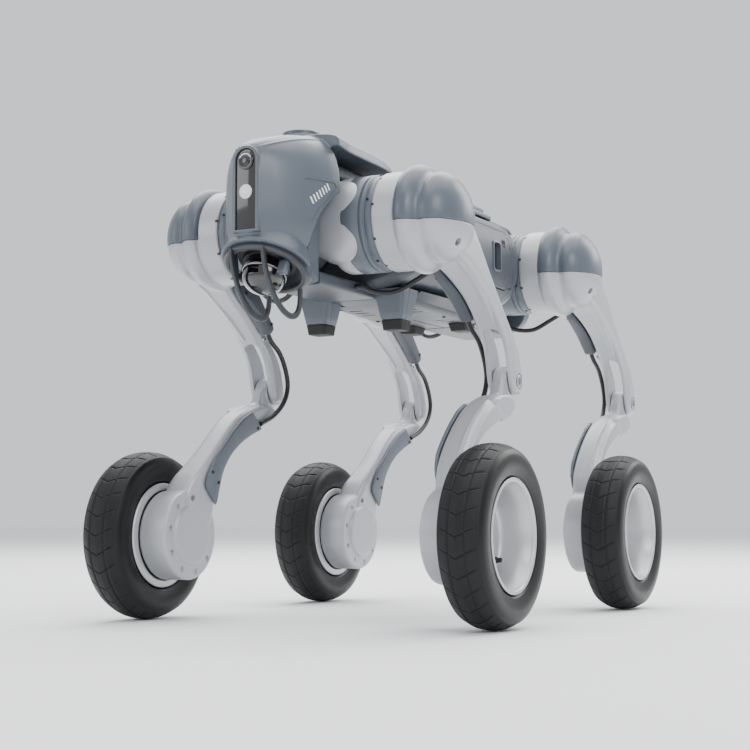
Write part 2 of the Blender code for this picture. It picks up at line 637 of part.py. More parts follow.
def make_cap():
    cap = cap_revolve("cap_t", 0.0, 0.1143)
    cut(cap, half_space("under", 0.30, CAP_CUT_Z))
    room = [(0, 0.10), (CORE_A_R + GAP, 0.10), (CORE_A_R + GAP, CORE_A_OUT + GAP), (CORE_B_R + GAP, CORE_A_OUT + GAP),
            (CORE_B_R + GAP, CORE_B_OUT + GAP), (0, CORE_B_OUT + GAP)]
    cut(cap, revolve("room", room, (HIP.x, 0, HIP.z), (0, 1, 0), 20, 0.03))
    return cap


def strip_solid(name, origin, down, front, rows):
    return loft(name, [leg_ring(origin, down, front, *row, radius=0.003, per_corner=2) for row in rows])


def make_thigh_cover():
    rows = ((0.0560, -0.0190, 0.0060, 0.1165, 0.1245), (0.0580, -0.0208, 0.0080, 0.1150, 0.1250),
            (0.0700, -0.0212, 0.0060, 0.1150, 0.1272), (0.0850, -0.0214, 0.0010, 0.1150, 0.1293),
            (0.1050, -0.0218, -0.0048, 0.1155, 0.1305), (0.1280, -0.0225, -0.0085, 0.1160, 0.1308),
            (0.1350, -0.0220, -0.0092, 0.1165, 0.1308), (0.1365, -0.0210, -0.0105, 0.1175, 0.1305))
    return strip_solid("thigh_cover_t", HIP, THIGH_DOWN, THIGH_FRONT, rows)


def make_calf():
    calf = loft("calf_t", [leg_ring(KNEE, CALF_DOWN, CALF_FRONT, *row) for row in CALF_ROWS])
    rows = ((0.0, -0.0160, 0.0160), (0.015, -0.0160, 0.0150), (0.030, -0.0150, 0.0110), (0.045, -0.0095, 0.0180))
    tongue = loft("tongue", [leg_ring(KNEE, CALF_DOWN, CALF_FRONT, u, v0, v1, TONGUE_IN + 0.0012, TONGUE_OUT - 0.0008,
                                      0.004) for u, v0, v1 in rows])
    join(calf, tongue)
    join(calf, y_disc("eye", KNEE, 0.0160, TONGUE_IN, TONGUE_OUT, 0.0, 18))
    join(calf, y_disc("pin", KNEE, PIN_R, 0.1330, 0.1620, 0.0, 14))
    hub = [(0, HUB_IN - 0.0035), (0.0305, HUB_IN - 0.0035), (0.0325, HUB_IN), (HUB_R - 0.0025, HUB_IN),
           (HUB_R, HUB_IN + 0.0025), (HUB_R, HUB_OUT), (0, HUB_OUT)]
    join(calf, revolve("hub", hub, (WHEEL.x, 0, WHEEL.z), (0, 1, 0), 24))
    return calf


def make_calf_cover():
    rows = ((0.0630, 0.0010, 0.0150, 0.1290, 0.1316), (0.0645, 0.0005, 0.0165, 0.1280, 0.1317),
            (0.0800, 0.0082, 0.0230, 0.1278, 0.1317), (0.0950, 0.0144, 0.0275, 0.1278, 0.1317),
            (0.1100, 0.0192, 0.0310, 0.1278, 0.1317), (0.1300, 0.0222, 0.0335, 0.1280, 0.1319),
            (0.1500, 0.0190, 0.0330, 0.1293, 0.1330), (0.1640, 0.0110, 0.0290, 0.1310, 0.1345),
            (0.1700, 0.0085, 0.0255, 0.1325, 0.1350))
    return strip_solid("calf_cover_t", KNEE, CALF_DOWN, CALF_FRONT, rows)


def make_knee_cable():
    start, low = HIP + THIGH_DOWN * 0.1370, HIP + THIGH_DOWN * 0.1500
    end = KNEE + CALF_DOWN * 0.0608 + CALF_FRONT * 0.0065
    back = THIGH_FRONT * 0.0150
    route = [(start.x - back.x, 0.1235, start.z - back.z), (low.x - back.x, 0.1238, low.z - back.z),
             (KNEE.x + 0.0129, 0.1240, KNEE.z + 0.0430), (KNEE.x - 0.0003, 0.1242, KNEE.z + 0.0250),
             (KNEE.x - 0.0055, 0.1245, KNEE.z + 0.0062), (KNEE.x + 0.0022, 0.1250, KNEE.z - 0.0120),
             (KNEE.x + 0.0215, 0.1265, KNEE.z - 0.0280), (end.x, 0.1285, end.z)]
    return tube("knee_cable_t", smooth_path(route, 3), CABLE_R)


def make_hip_cable():
    end = HIP + THIGH_DOWN * 0.0660 - THIGH_FRONT * 0.0060
    route = [(HIP_X - 0.0220, 0.0346, 0.3447), (HIP_X - 0.0230, 0.0420, 0.3440), (HIP_X - 0.0290, 0.0560, 0.3385),
             (HIP_X - 0.0370, 0.0740, 0.3390), (HIP_X - 0.0440, 0.0930, 0.3500),
             (end.x, 0.1066, end.z - 0.0006), (end.x, 0.1146, end.z)]
    return tube("hip_cable_t", smooth_path(route, 4), CABLE_R)


RIM_PROFILE = ((0, -0.0080), (0.0150, -0.0080), (0.0175, -0.0112), (0.0395, -0.0120), (0.0455, 0.0090), (0.0515, 0.0218),
               (0.0553, 0.0222), (0.0525, 0.0176), (0.0525, -0.0176), (0.0553, -0.0222), (0.0480, -0.0240), (0, -0.0240))
TYRE_HALF = ((0.0529, 0.0172), (0.0562, 0.0200), (0.0620, 0.0229), (0.0720, 0.0243), (0.0810, 0.0215), (0.0872, 0.0115),
             (0.0890, 0.0))


def make_rim():
    rim = revolve("rim_t", RIM_PROFILE, (WHEEL.x, WHEEL_Y, WHEEL.z), (0, 1, 0), 28)
    return rim


def make_tyre():
    upper = list(TYRE_HALF)
    profile = upper + [(r, -y) for r, y in reversed(upper[:-1])]
    return revolve("tyre_t", profile, (WHEEL.x, WHEEL_Y, WHEEL.z), (0, 1, 0), 32)


def make_legs():
    hip_at, knee_at, wheel_at = HIP, KNEE, WHEEL
    templates = [
        ("hip", make_hip(), "shell", "abduct"), ("thigh", make_thigh(), "silver", "hip"),
        ("thigh_cap", make_cap(), "shell", "hip"), ("thigh_cover", make_thigh_cover(), "body", "hip"),
        ("hip_cable", make_hip_cable(), "cable", "hip"), ("knee_cable", make_knee_cable(), "cable", "knee"),
        ("calf", make_calf(), "silver", "knee"), ("calf_cover", make_calf_cover(), "body", "knee"),
        ("rim", make_rim(), "alloy", "wheel"), ("tyre", make_tyre(), "rubber", "wheel")]
    for _, obj, _, _ in templates:
        tidy_mesh(obj.data)
    for end, end_word in ((1, "front"), (-1, "rear")):
        for side, side_word in ((1, "left"), (-1, "right")):
            shift = 0.0 if end > 0 else -2 * HIP_X
            for kind, obj, key, where in templates:
                at = {"abduct": Vector((HIP_X, ABDUCT_Y, HIP_Z)), "hip": hip_at, "knee": knee_at,
                      "wheel": wheel_at + Vector((0, WHEEL_Y, 0))}[where]
                origin = (at.x + shift + SHIFT_X, side * at.y, at.z)
                mirror_x = kind == "hip" and end < 0
                move = 0.0 if mirror_x else shift
                finish(obj, "_".join((kind, end_word, side_word)), key, origin, side < 0, mirror_x, move)
    for _, obj, _, _ in templates:
        bpy.data.objects.remove(obj, do_unlink=True)


clear_scene()
make_chassis()
make_battery()
make_deck()
make_belly()
make_feet()
make_tail()
make_head()
make_face()
make_lidar()
make_legs()
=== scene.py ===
import json
import math

import bmesh
import bpy
from mathutils import Matrix, Vector


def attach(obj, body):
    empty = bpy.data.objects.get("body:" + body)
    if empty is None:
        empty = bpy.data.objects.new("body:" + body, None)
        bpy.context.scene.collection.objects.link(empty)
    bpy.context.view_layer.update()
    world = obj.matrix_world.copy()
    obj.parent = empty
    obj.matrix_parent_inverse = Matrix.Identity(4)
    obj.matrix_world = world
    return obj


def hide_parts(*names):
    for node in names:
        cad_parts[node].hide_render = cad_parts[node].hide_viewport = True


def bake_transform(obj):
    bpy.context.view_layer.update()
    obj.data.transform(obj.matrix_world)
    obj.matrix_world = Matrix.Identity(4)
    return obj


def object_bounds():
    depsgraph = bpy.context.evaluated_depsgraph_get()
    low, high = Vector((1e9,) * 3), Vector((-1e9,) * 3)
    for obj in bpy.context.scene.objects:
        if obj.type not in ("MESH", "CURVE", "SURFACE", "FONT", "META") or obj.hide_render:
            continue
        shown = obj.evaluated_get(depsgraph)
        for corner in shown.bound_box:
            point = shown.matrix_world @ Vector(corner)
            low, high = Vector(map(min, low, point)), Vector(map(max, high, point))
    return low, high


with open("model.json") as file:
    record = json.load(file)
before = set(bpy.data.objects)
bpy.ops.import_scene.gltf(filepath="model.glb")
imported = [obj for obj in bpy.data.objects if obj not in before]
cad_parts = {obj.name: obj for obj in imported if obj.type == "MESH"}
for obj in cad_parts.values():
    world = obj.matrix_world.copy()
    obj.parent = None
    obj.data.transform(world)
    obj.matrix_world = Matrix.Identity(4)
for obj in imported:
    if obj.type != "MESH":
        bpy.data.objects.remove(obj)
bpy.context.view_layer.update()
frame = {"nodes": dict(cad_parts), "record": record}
JOINTS = {j["name"]: j for j in frame["record"]["behaviour"]["joints"]}

# ---------------------------------------------------------------- places taken from the frame
HIP_AT = Vector(JOINTS["front_left_thigh"]["pos_m"])
REAR_AT = Vector(JOINTS["rear_left_thigh"]["pos_m"])
SHIFT = (HIP_AT.x + REAR_AT.x) / 2          # middle between the hips
HIP_X, HIP_Z = HIP_AT.x - SHIFT, HIP_AT.z
ABDUCT_Y = JOINTS["front_left_abduction"]["pos_m"][1]
KNEE_AT = Vector(JOINTS["front_left_knee"]["pos_m"])
WHEEL_AT = Vector(JOINTS["front_left_wheel"]["pos_m"])
HIP = Vector((HIP_X, 0, HIP_Z))
KNEE = Vector((KNEE_AT.x - SHIFT, 0, KNEE_AT.z))
WHEEL = Vector((WHEEL_AT.x - SHIFT, 0, WHEEL_AT.z))
WHEEL_Y = WHEEL_AT.y
THIGH_DOWN = (KNEE - HIP).normalized()
THIGH_FRONT = Vector((-THIGH_DOWN.z, 0, THIGH_DOWN.x))
CALF_DOWN = (WHEEL - KNEE).normalized()
CALF_FRONT = Vector((-CALF_DOWN.z, 0, CALF_DOWN.x))
LEGS = [(end, word, side, hand) for end, word in ((1, "front"), (-1, "rear")) for side, hand in ((1,
        "left"), (-1, "right"))]

# ---------------------------------------------------------------- camera and light
CAMERA_AT = (1.57499, 0.79365, 0.10798)     # from the middle between the hips
CAMERA_RIGHT, CAMERA_BACK = (-0.46415, 0.88575, -0.00341), (0.88228, 0.46199, -0.09030)
LENS_MM, SENSOR_MM = 74.86, 36.0


def make_camera():
    data = bpy.data.cameras.new("camera")
    data.sensor_width, data.lens = SENSOR_MM, LENS_MM
    cam = bpy.data.objects.new("camera", data)
    bpy.context.scene.collection.objects.link(cam)
    right = Vector(CAMERA_RIGHT).normalized()
    back = Vector(CAMERA_BACK).normalized()
    up = back.cross(right).normalized()
    turned = Matrix((right, up, back)).transposed().to_4x4()
    cam.matrix_world = Matrix.Translation(Vector(CAMERA_AT) + Vector((SHIFT, 0, 0))) @ turned
    bpy.context.scene.camera = cam
    return cam


def area_light(name, at, target, size, power, color=(1, 1, 1)):
    data = bpy.data.lights.new(name, "AREA")
    data.shape, data.size, data.size_y = "RECTANGLE", size[0], size[1]
    data.energy, data.color = power, color
    light = bpy.data.objects.new(name, data)
    bpy.context.scene.collection.objects.link(light)
    light.location = at
    light.rotation_euler = (Vector(target) - Vector(at)).to_track_quat("-Z", "Y").to_euler()
    return light


def make_studio():
    world = bpy.data.worlds.new("studio")
    bpy.context.scene.world = world
    world.use_nodes = True
    world.node_tree.nodes["Background"].inputs["Color"].default_value = (0.93, 0.95, 0.98, 1)
    world.node_tree.nodes["Background"].inputs["Strength"].default_value = 1.0
    area_light("top", (0.1, 0.2, 2.1), (0, 0, 0.35), (2.4, 1.8), 36)
    area_light("key", (1.5, 2.0, 1.6), (0, 0, 0.3), (1.1, 1.1), 22)
    area_light("fill", (1.9, -1.5, 1.0), (0.1, 0, 0.3), (1.2, 1.0), 8)
    area_light("rim", (-1.6, 0.9, 1.4), (0, 0, 0.35), (1.0, 1.2), 20)
    area_light("floor_wash", (-1.6, -0.9, 2.2), (-1.8, -1.0, 0), (2.5, 2.5), 90)
    bm = bmesh.new()
    bmesh.ops.create_grid(bm, x_segments=2, y_segments=2, size=12)
    floor = link(bm, "floor")
    floor.location.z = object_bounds()[0][2] - 0.0002
    mat = bpy.data.materials.new("floor_pale")
    mat.use_nodes = True
    shader = mat.node_tree.nodes["Principled BSDF"]
    shader.inputs["Base Color"].default_value = (0.93, 0.935, 0.94, 1)
    shader.inputs["Roughness"].default_value = 0.75
    floor.data.materials.append(mat)


# ---------------------------------------------------------------- materials
def node(tree, kind, **values):
    made = tree.nodes.new(kind)
    for key, value in values.items():
        if key in made.inputs:
            made.inputs[key].default_value = value
        else:
            setattr(made, key, value)
    return made


def surface(name, color, rough, metallic=0.0, coat=0.0, coat_rough=0.15, grain=(900, 0.05, 0.0002),
            tint=0.05,
            rough_vary=0.06, edge=0.12, specular=0.5, dust=0.0):
    """A painted, moulded or cast surface: fine grain, slow tint, convex edges lightened from pointiness (partly
    paint wear, partly a painted highlight) and uneven gloss.
    """
    mat = bpy.data.materials.new(name)
    mat.use_nodes = True
    tree = mat.node_tree
    shader = tree.nodes["Principled BSDF"]
    shader.inputs["Metallic"].default_value = metallic
    shader.inputs["Coat Weight"].default_value = coat
    shader.inputs["Coat Roughness"].default_value = coat_rough
    shader.inputs["Specular IOR Level"].default_value = specular
    place = node(tree, "ShaderNodeTexCoord")
    slow = node(tree, "ShaderNodeTexNoise", Scale=14.0, Detail=3.0)
    fine = node(tree, "ShaderNodeTexNoise", Scale=grain[0], Detail=4.0)
    streak = node(tree, "ShaderNodeTexNoise", Scale=90.0, Detail=5.0, Roughness=0.65)
    for one in (slow, fine, streak):
        tree.links.new(place.outputs["Object"], one.inputs["Vector"])
    low = tuple(c * (1 - tint) for c in color)
    high = tuple(min(1.0, c * (1 + tint)) for c in color)
    base = node(tree, "ShaderNodeMix", data_type="RGBA")
    base.inputs["A"].default_value, base.inputs["B"].default_value = (*low, 1), (*high, 1)
    tree.links.new(slow.outputs["Fac"], base.inputs["Factor"])
    last = base.outputs["Result"]
    # convex edges made lighter from pointiness: partly paint wear, partly a painted highlight
    if edge:
        shape = node(tree, "ShaderNodeNewGeometry")
        edge_wear_and_highlight = node(tree, "ShaderNodeMapRange")
        edge_wear_and_highlight.inputs["From Min"].default_value, edge_wear_and_highlight.inputs["From Max"].default_value = 0.52, 0.62
        edge_wear_and_highlight.inputs["To Min"].default_value, edge_wear_and_highlight.inputs["To Max"].default_value = 0.0, edge
        tree.links.new(shape.outputs["Pointiness"], edge_wear_and_highlight.inputs["Value"])
        mix = node(tree, "ShaderNodeMix", data_type="RGBA")
        mix.inputs["B"].default_value = tuple(min(1.0, 0.25 + c * 1.5) for c in color) + (1,)
        tree.links.new(edge_wear_and_highlight.outputs["Result"], mix.inputs["Factor"])
        tree.links.new(last, mix.inputs["A"])
        last = mix.outputs["Result"]
    if dust:
        mask = node(tree, "ShaderNodeMapRange")
        mask.inputs["From Min"].default_value, mask.inputs["From Max"].default_value = 0.45, 0.75
        mask.inputs["To Max"].default_value = dust
        tree.links.new(streak.outputs["Fac"], mask.inputs["Value"])
        mix = node(tree, "ShaderNodeMix", data_type="RGBA")
        mix.inputs["B"].default_value = (0.16, 0.155, 0.15, 1)
        tree.links.new(mask.outputs["Result"], mix.inputs["Factor"])
        tree.links.new(last, mix.inputs["A"])
        last = mix.outputs["Result"]
    tree.links.new(last, shader.inputs["Base Color"])
    gloss = node(tree, "ShaderNodeMapRange")
    gloss.inputs["To Min"].default_value = rough - rough_vary
    gloss.inputs["To Max"].default_value = rough + rough_vary
    tree.links.new(streak.outputs["Fac"], gloss.inputs["Value"])
    tree.links.new(gloss.outputs["Result"], shader.inputs["Roughness"])
    bump = node(tree, "ShaderNodeBump", Strength=grain[1], Distance=grain[2])
    tree.links.new(fine.outputs["Fac"], bump.inputs["Height"])
    tree.links.new(bump.outputs["Normal"], shader.inputs["Normal"])
    return mat


def plain_gloss(name, color, rough, emission=0.0, coat=0.6):
    mat = surface(name, color, rough, coat=coat, coat_rough=0.05, grain=(1500, 0.02, 0.0001), tint=0.03,
                  rough_vary=0.02,
                  edge=0.0)
    if emission:
        shader = mat.node_tree.nodes["Principled BSDF"]
        shader.inputs["Emission Color"].default_value = (*color, 1)
        shader.inputs["Emission Strength"].default_value = emission
    return mat


MATS = {
    "shell": surface("paint_shell", (0.082, 0.098, 0.122), 0.36, 0.10, 0.15, 0.28, (1400, 0.12, 0.0003),
                     0.04, 0.05, 0.10),
    "body": surface("moulded_body", (0.045, 0.054, 0.068), 0.44, 0.0, 0.05, 0.35, (1700, 0.30, 0.0003),
                    0.05, 0.06, 0.08),
    "dark": surface("moulded_black", (0.006, 0.0065, 0.0075), 0.45, 0.0, 0.0, 0.3, (1600, 0.25, 0.0003),
                    0.1, 0.06, 0.04),
    "silver": surface("paint_silver", (0.40, 0.41, 0.435), 0.36, 0.25, 0.10, 0.3, (1500, 0.10, 0.0002),
                      0.02, 0.05, 0.10),
    "alloy": surface("cast_alloy", (0.50, 0.505, 0.52), 0.40, 0.70, 0.0, 0.2, (1300, 0.20, 0.0002), 0.03,
                     0.06, 0.10),
    "steel": surface("screw_steel", (0.45, 0.46, 0.48), 0.28, 1.0, 0.0, 0.2, (2200, 0.15, 0.0001), 0.04,
                     0.08, 0.10),
    "black_screw": surface("black_screw", (0.02, 0.02, 0.022), 0.35, 0.6, 0.0, 0.2, (2200, 0.2, 0.0001),
                           0.05, 0.06, 0.1),
    "gloss_black": plain_gloss("gloss_black", (0.006, 0.006, 0.007), 0.09, coat=1.0),
    "rubber": surface("rubber", (0.005, 0.005, 0.0055), 0.62, 0.0, 0.0, 0.3, (1200, 0.35, 0.0003), 0.1,
                      0.08, 0.05),
    "tyre": surface("tyre_rubber", (0.0055, 0.0060, 0.0070), 0.52, 0.0, 0.0, 0.3, (1100, 0.45, 0.0003),
                    0.12, 0.09, 0.10,
                    specular=0.28, dust=0.02),
    "sidewall": surface("tyre_sidewall", (0.0025, 0.0025, 0.0028), 0.38, 0.0, 0.0, 0.3, (1100, 0.25,
            0.0002), 0.08, 0.07, 0.06, specular=0.30),
    "cable": surface("cable_sleeve", (0.004, 0.004, 0.0045), 0.42, 0.0, 0.05, 0.3, (1500, 0.4, 0.0003), 0.1,
                     0.08, 0.05),
    "lamp": plain_gloss("lamp_lens", (0.60, 0.64, 0.68), 0.12, 0.12),
    "guard": surface("guard_grey", (0.030, 0.034, 0.041), 0.38, 0.15, 0.1, 0.3, (1500, 0.15, 0.0002), 0.04,
                     0.05, 0.10),
    "mark": surface("white_mark", (0.82, 0.83, 0.84), 0.45, 0.0, 0.0, 0.3, (1500, 0.1, 0.0002), 0.02, 0.05,
                    0.0),
    "glass": plain_gloss("lens_glass", (0.004, 0.005, 0.008), 0.04, coat=1.0),
}


# ---------------------------------------------------------------- mesh helpers
def link(bm, name):
    mesh = bpy.data.meshes.new(name)
    bm.to_mesh(mesh)
    bm.free()
    obj = bpy.data.objects.new(name, mesh)
    bpy.context.scene.collection.objects.link(obj)
    return obj


def solid(bm, name):
    bmesh.ops.remove_doubles(bm, verts=bm.verts, dist=1e-7)
    bmesh.ops.recalc_face_normals(bm, faces=bm.faces)
    return link(bm, name)


def loft(name, rings, caps=True):
    bm = bmesh.new()
    rows = [[bm.verts.new(p) for p in ring] for ring in rings]
    count = len(rows[0])
    for low, high in zip(rows, rows[1:]):
        for i in range(count):
            j = (i + 1) % count
            bm.faces.new((low[i], low[j], high[j], high[i]))
    if caps:
        bm.faces.new(list(reversed(rows[0])))
        bm.faces.new(rows[-1])
    return solid(bm, name)


def revolve(name, profile, centre, axis, segments=96):
    axis = Vector(axis).normalized()
    side = Vector((0, 0, 1)) if abs(axis.z) < 0.9 else Vector((1, 0, 0))
    first = (side - axis * side.dot(axis)).normalized()
    second = axis.cross(first)
    centre = Vector(centre)
    bm = bmesh.new()
    columns = []
    for radius, along in profile:
        at = centre + axis * along
        if radius <= 1e-9:
            columns.append([bm.verts.new(at)] * segments)
        else:
            columns.append([bm.verts.new(at + (first * math.cos(2 * math.pi * k / segments)
                                               + second * math.sin(2 * math.pi * k / segments)) * radius)
                            for k in range(segments)])
    pairs = list(zip(columns, columns[1:]))
    if profile[0][0] > 1e-9:
        pairs.append((columns[-1], columns[0]))
    for a, b in pairs:
        for k in range(segments):
            m = (k + 1) % segments
            face = []
            for vert in (a[k], a[m], b[m], b[k]):
                if vert not in face:
                    face.append(vert)
            if len(face) > 2:
                bm.faces.new(face)
    return solid(bm, name)


def block(name, low, high):
    rings = [[(x, low[1], low[2]), (x, high[1], low[2]), (x, high[1], high[2]), (x, low[1], high[2])]
             for x in (low[0], high[0])]
    return loft(name, rings)


def prism_y(name, outline, y0, y1):
    return loft(name, [[(x, y, z) for x, z in outline] for y in (y0, y1)])


def prism_x(name, outline, x0, x1):
    return loft(name, [[(x, y, z) for y, z in outline] for x in (x0, x1)])


def spline(rows, steps):
    """Catmull-Rom rows through rows of numbers."""
    rows = [tuple(r) for r in rows]
    first = tuple(2 * a - b for a, b in zip(rows[0], rows[1]))
    last = tuple(2 * a - b for a, b in zip(rows[-1], rows[-2]))
    pts = [first] + rows + [last]
    out = []
    for i in range(1, len(pts) - 2):
        for k in range(steps):
            t = k / steps
            out.append(tuple(0.5 * (2 * b + (c - a) * t + (2 * a - 5 * b + 4 * c - d) * t ** 2
                                    + (3 * b - a - 3 * c + d) * t ** 3)
                             for a, b, c, d in zip(*pts[i - 1:i + 3])))
    out.append(rows[-1])
    return out


def apply_mods(obj):
    graph = bpy.context.evaluated_depsgraph_get()
    mesh = bpy.data.meshes.new_from_object(obj.evaluated_get(graph))
    obj.modifiers.clear()
    obj.data = mesh
    return obj


def combine(target, other, operation):
    mod = target.modifiers.new("cut", "BOOLEAN")
    mod.operation, mod.solver, mod.object = operation, "EXACT", other
    apply_mods(target)
    bpy.data.objects.remove(other, do_unlink=True)
    return target


def cut(target, other):
    return combine(target, other, "DIFFERENCE")


def add(target, *others):
    """Lays closed shells together. A later recast makes them one skin."""
    bm = bmesh.new()
    bm.from_mesh(target.data)
    for other in others:
        bm.from_mesh(other.data)
        bpy.data.objects.remove(other, do_unlink=True)
    bm.to_mesh(target.data)
    bm.free()
    return target


def recast(obj, voxel=0.001, rounds=6, factor=0.5):
    """One smooth skin with soft fillets, as a casting or moulding has."""
    mod = obj.modifiers.new("skin", "REMESH")
    mod.mode, mod.voxel_size, mod.adaptivity = "VOXEL", voxel, 0.0
    soft = obj.modifiers.new("soft", "SMOOTH")
    soft.iterations, soft.factor = rounds, factor
    return apply_mods(obj)


def bevelled(obj, width, segments=2, angle=35):
    mod = obj.modifiers.new("bevel", "BEVEL")
    mod.width, mod.segments, mod.limit_method = width, segments, "ANGLE"
    mod.angle_limit = math.radians(angle)
    mod.harden_normals = False
    return apply_mods(obj)


def shade(obj, key, angle=40):
    mesh = obj.data
    mesh.materials.clear()
    mesh.materials.append(MATS[key])
    for polygon in mesh.polygons:
        polygon.use_smooth = True
    mesh.set_sharp_from_angle(angle=math.radians(angle))
    return obj


def round_rect(half_a, half_b, radius, per_corner):
    out = []
    radius = min(radius, half_a * 0.98, half_b * 0.98)
    for sa, sb, start in ((1, 1, 0), (-1, 1, 90), (-1, -1, 180), (1, -1, 270)):
        for k in range(per_corner):
            turn = math.radians(start + 90 * k / (per_corner - 1))
            out.append((sa * (half_a - radius) + radius * math.cos(turn),
                        sb * (half_b - radius) + radius * math.sin(turn)))
    return out


def squircle(width, height, power, count):
    out = []
    for k in range(count):
        turn = 2 * math.pi * k / count
        c, s = math.cos(turn), math.sin(turn)
        out.append((width * math.copysign(abs(c) ** (2 / power), c),
                    height * math.copysign(abs(s) ** (2 / power), s)))
    return out


def leg_ring(origin, down, front, u, v0, v1, y0, y1, radius=0.009, per_corner=7):
    vm, ym = (v0 + v1) / 2, (y0 + y1) / 2
    ring = []
    for a, b in round_rect((v1 - v0) / 2, (y1 - y0) / 2, radius, per_corner):
        at = origin + down * u + front * (vm + a)
        ring.append((at.x, ym + b, at.z))
    return ring


def y_turn(name, profile, centre, segments=96):
    return revolve(name, profile, (centre.x, 0, centre.z), (0, 1, 0), segments)


def tube_rings(points, radius, sides=16, rib=None):
    rings = []
    up = Vector((0, 1, 0))
    travelled = 0.0
    for i, point in enumerate(points):
        ahead = (points[min(i + 1, len(points) - 1)] - points[max(i - 1, 0)]).normalized()
        if i:
            travelled += (point - points[i - 1]).length
        across = up - ahead * up.dot(ahead)
        if across.length < 0.2:
            across = Vector((1, 0, 0)) - ahead * ahead.x
        across.normalize()
        other = ahead.cross(across)
        r = radius * (rib(travelled) if rib else 1.0)
        turns = [2 * math.pi * k / sides for k in range(sides)]
        rings.append([point + (across * math.cos(turn) + other * math.sin(turn)) * r for turn in turns])
        up = across
    return rings


# ---------------------------------------------------------------- placing
def placed(template, name, key, body, replaces=None, mirror_y=False, mirror_x=False, shift=0.0, angle=40):
    mesh = template.data.copy()
    mesh.name = name
    flip = Matrix.Diagonal((-1 if mirror_x else 1, -1 if mirror_y else 1, 1, 1))
    mesh.transform(Matrix.Translation((shift + SHIFT, 0, 0)) @ flip)
    if mirror_x != mirror_y:
        mesh.flip_normals()
    obj = bpy.data.objects.new(name, mesh)
    bpy.context.scene.collection.objects.link(obj)
    if key:
        shade(obj, key, angle)
    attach(obj, body)
    if replaces:
        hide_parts(replaces)
    return obj


def on_trunk(obj, name, key, replaces=None, body="trunk", angle=40):
    made = placed(obj, name, key, body, replaces, angle=angle)
    bpy.data.objects.remove(obj, do_unlink=True)
    return made


def on_legs(template, kind, key, body_kind, replaces=True, mirror_rear=False, angle=40):
    for end, word, side, hand in LEGS:
        flip_x = mirror_rear and end < 0
        move = 0.0 if (end > 0 or flip_x) else -2 * HIP_X
        tag = f"{word}_{hand}"
        placed(template, f"{kind}_v_{tag}" if replaces else f"{kind}_{tag}", key, f"{body_kind}_{tag}",
               f"{kind}_{tag}" if replaces else None, side < 0, flip_x, move, angle)
    bpy.data.objects.remove(template, do_unlink=True)


def screw_head(at, axis, radius=0.0027, height=0.0012, segments=24):
    """A socket screw: chamfered head with a six-sided socket."""
    axis = Vector(axis).normalized()
    side = Vector((0, 0, 1)) if abs(axis.z) < 0.9 else Vector((1, 0, 0))
    first = (side - axis * side.dot(axis)).normalized()
    second = axis.cross(first)
    rings = []
    for r, h, six in ((1.0, -1.2, 0), (1.0, 0.7, 0), (0.86, 1.0, 0), (0.52, 1.0, 1), (0.50, 0.1, 1)):
        ring = []
        for k in range(segments):
            turn = 2 * math.pi * k / segments
            part = math.cos(math.pi / 6) / math.cos((turn % (math.pi / 3)) - math.pi / 6) if six else 1.0
            ring.append(Vector(at) + axis * height * h
                        + (first * math.cos(turn) + second * math.sin(turn)) * radius * r * part)
        rings.append(ring)
    return loft("screw", rings)


def gather(name, objects):
    first = objects[0]
    first.name = name
    return add(first, *objects[1:]) if len(objects) > 1 else first


# ---------------------------------------------------------------- wheels
TYRE_HALF = ((0.0529, 0.0172), (0.0562, 0.0200), (0.0620, 0.0229), (0.0720, 0.0243), (0.0810, 0.0215),
             (0.0872, 0.0115),
             (0.0890, 0.0))
PITCHES = 28                   # tread blocks round the tyre
PITCH_STEPS = 30
GROOVE_DEPTH = 0.0015
RIB_Y = 0.0086                 # circumferential grooves either side of the middle
TREAD_EDGE = 0.0192
TREAD_SLOPE = 0.52
TREAD_LIMIT = 0.0203           # the tread ends this far from the middle
TREAD_FROM = 0.070             # no tread nearer the axle than this


def groove(distance, half_width):
    """Depth share of a groove with rounded lips."""
    t = abs(distance) / half_width
    return 0.0 if t >= 1.6 else (1.0 if t <= 0.7 else 0.5 + 0.5 * math.cos(math.pi * (t - 0.7) / 0.9))


def tread_depth(y, along, pitch):
    """How deep the pattern is at a lateral place and a place along the circumference."""
    side = abs(y)
    deep = groove(side - RIB_Y, 0.00062)
    if side < TREAD_EDGE + 0.001:
        line = (along - side * TREAD_SLOPE) % pitch
        line = min(line, pitch - line)
        fade = min(1.0, max(0.0, (TREAD_EDGE - side) / 0.0022))
        deep = max(deep, groove(line, 0.00062) * fade)
    return deep * (0.55 if side > 0.016 else 1.0)


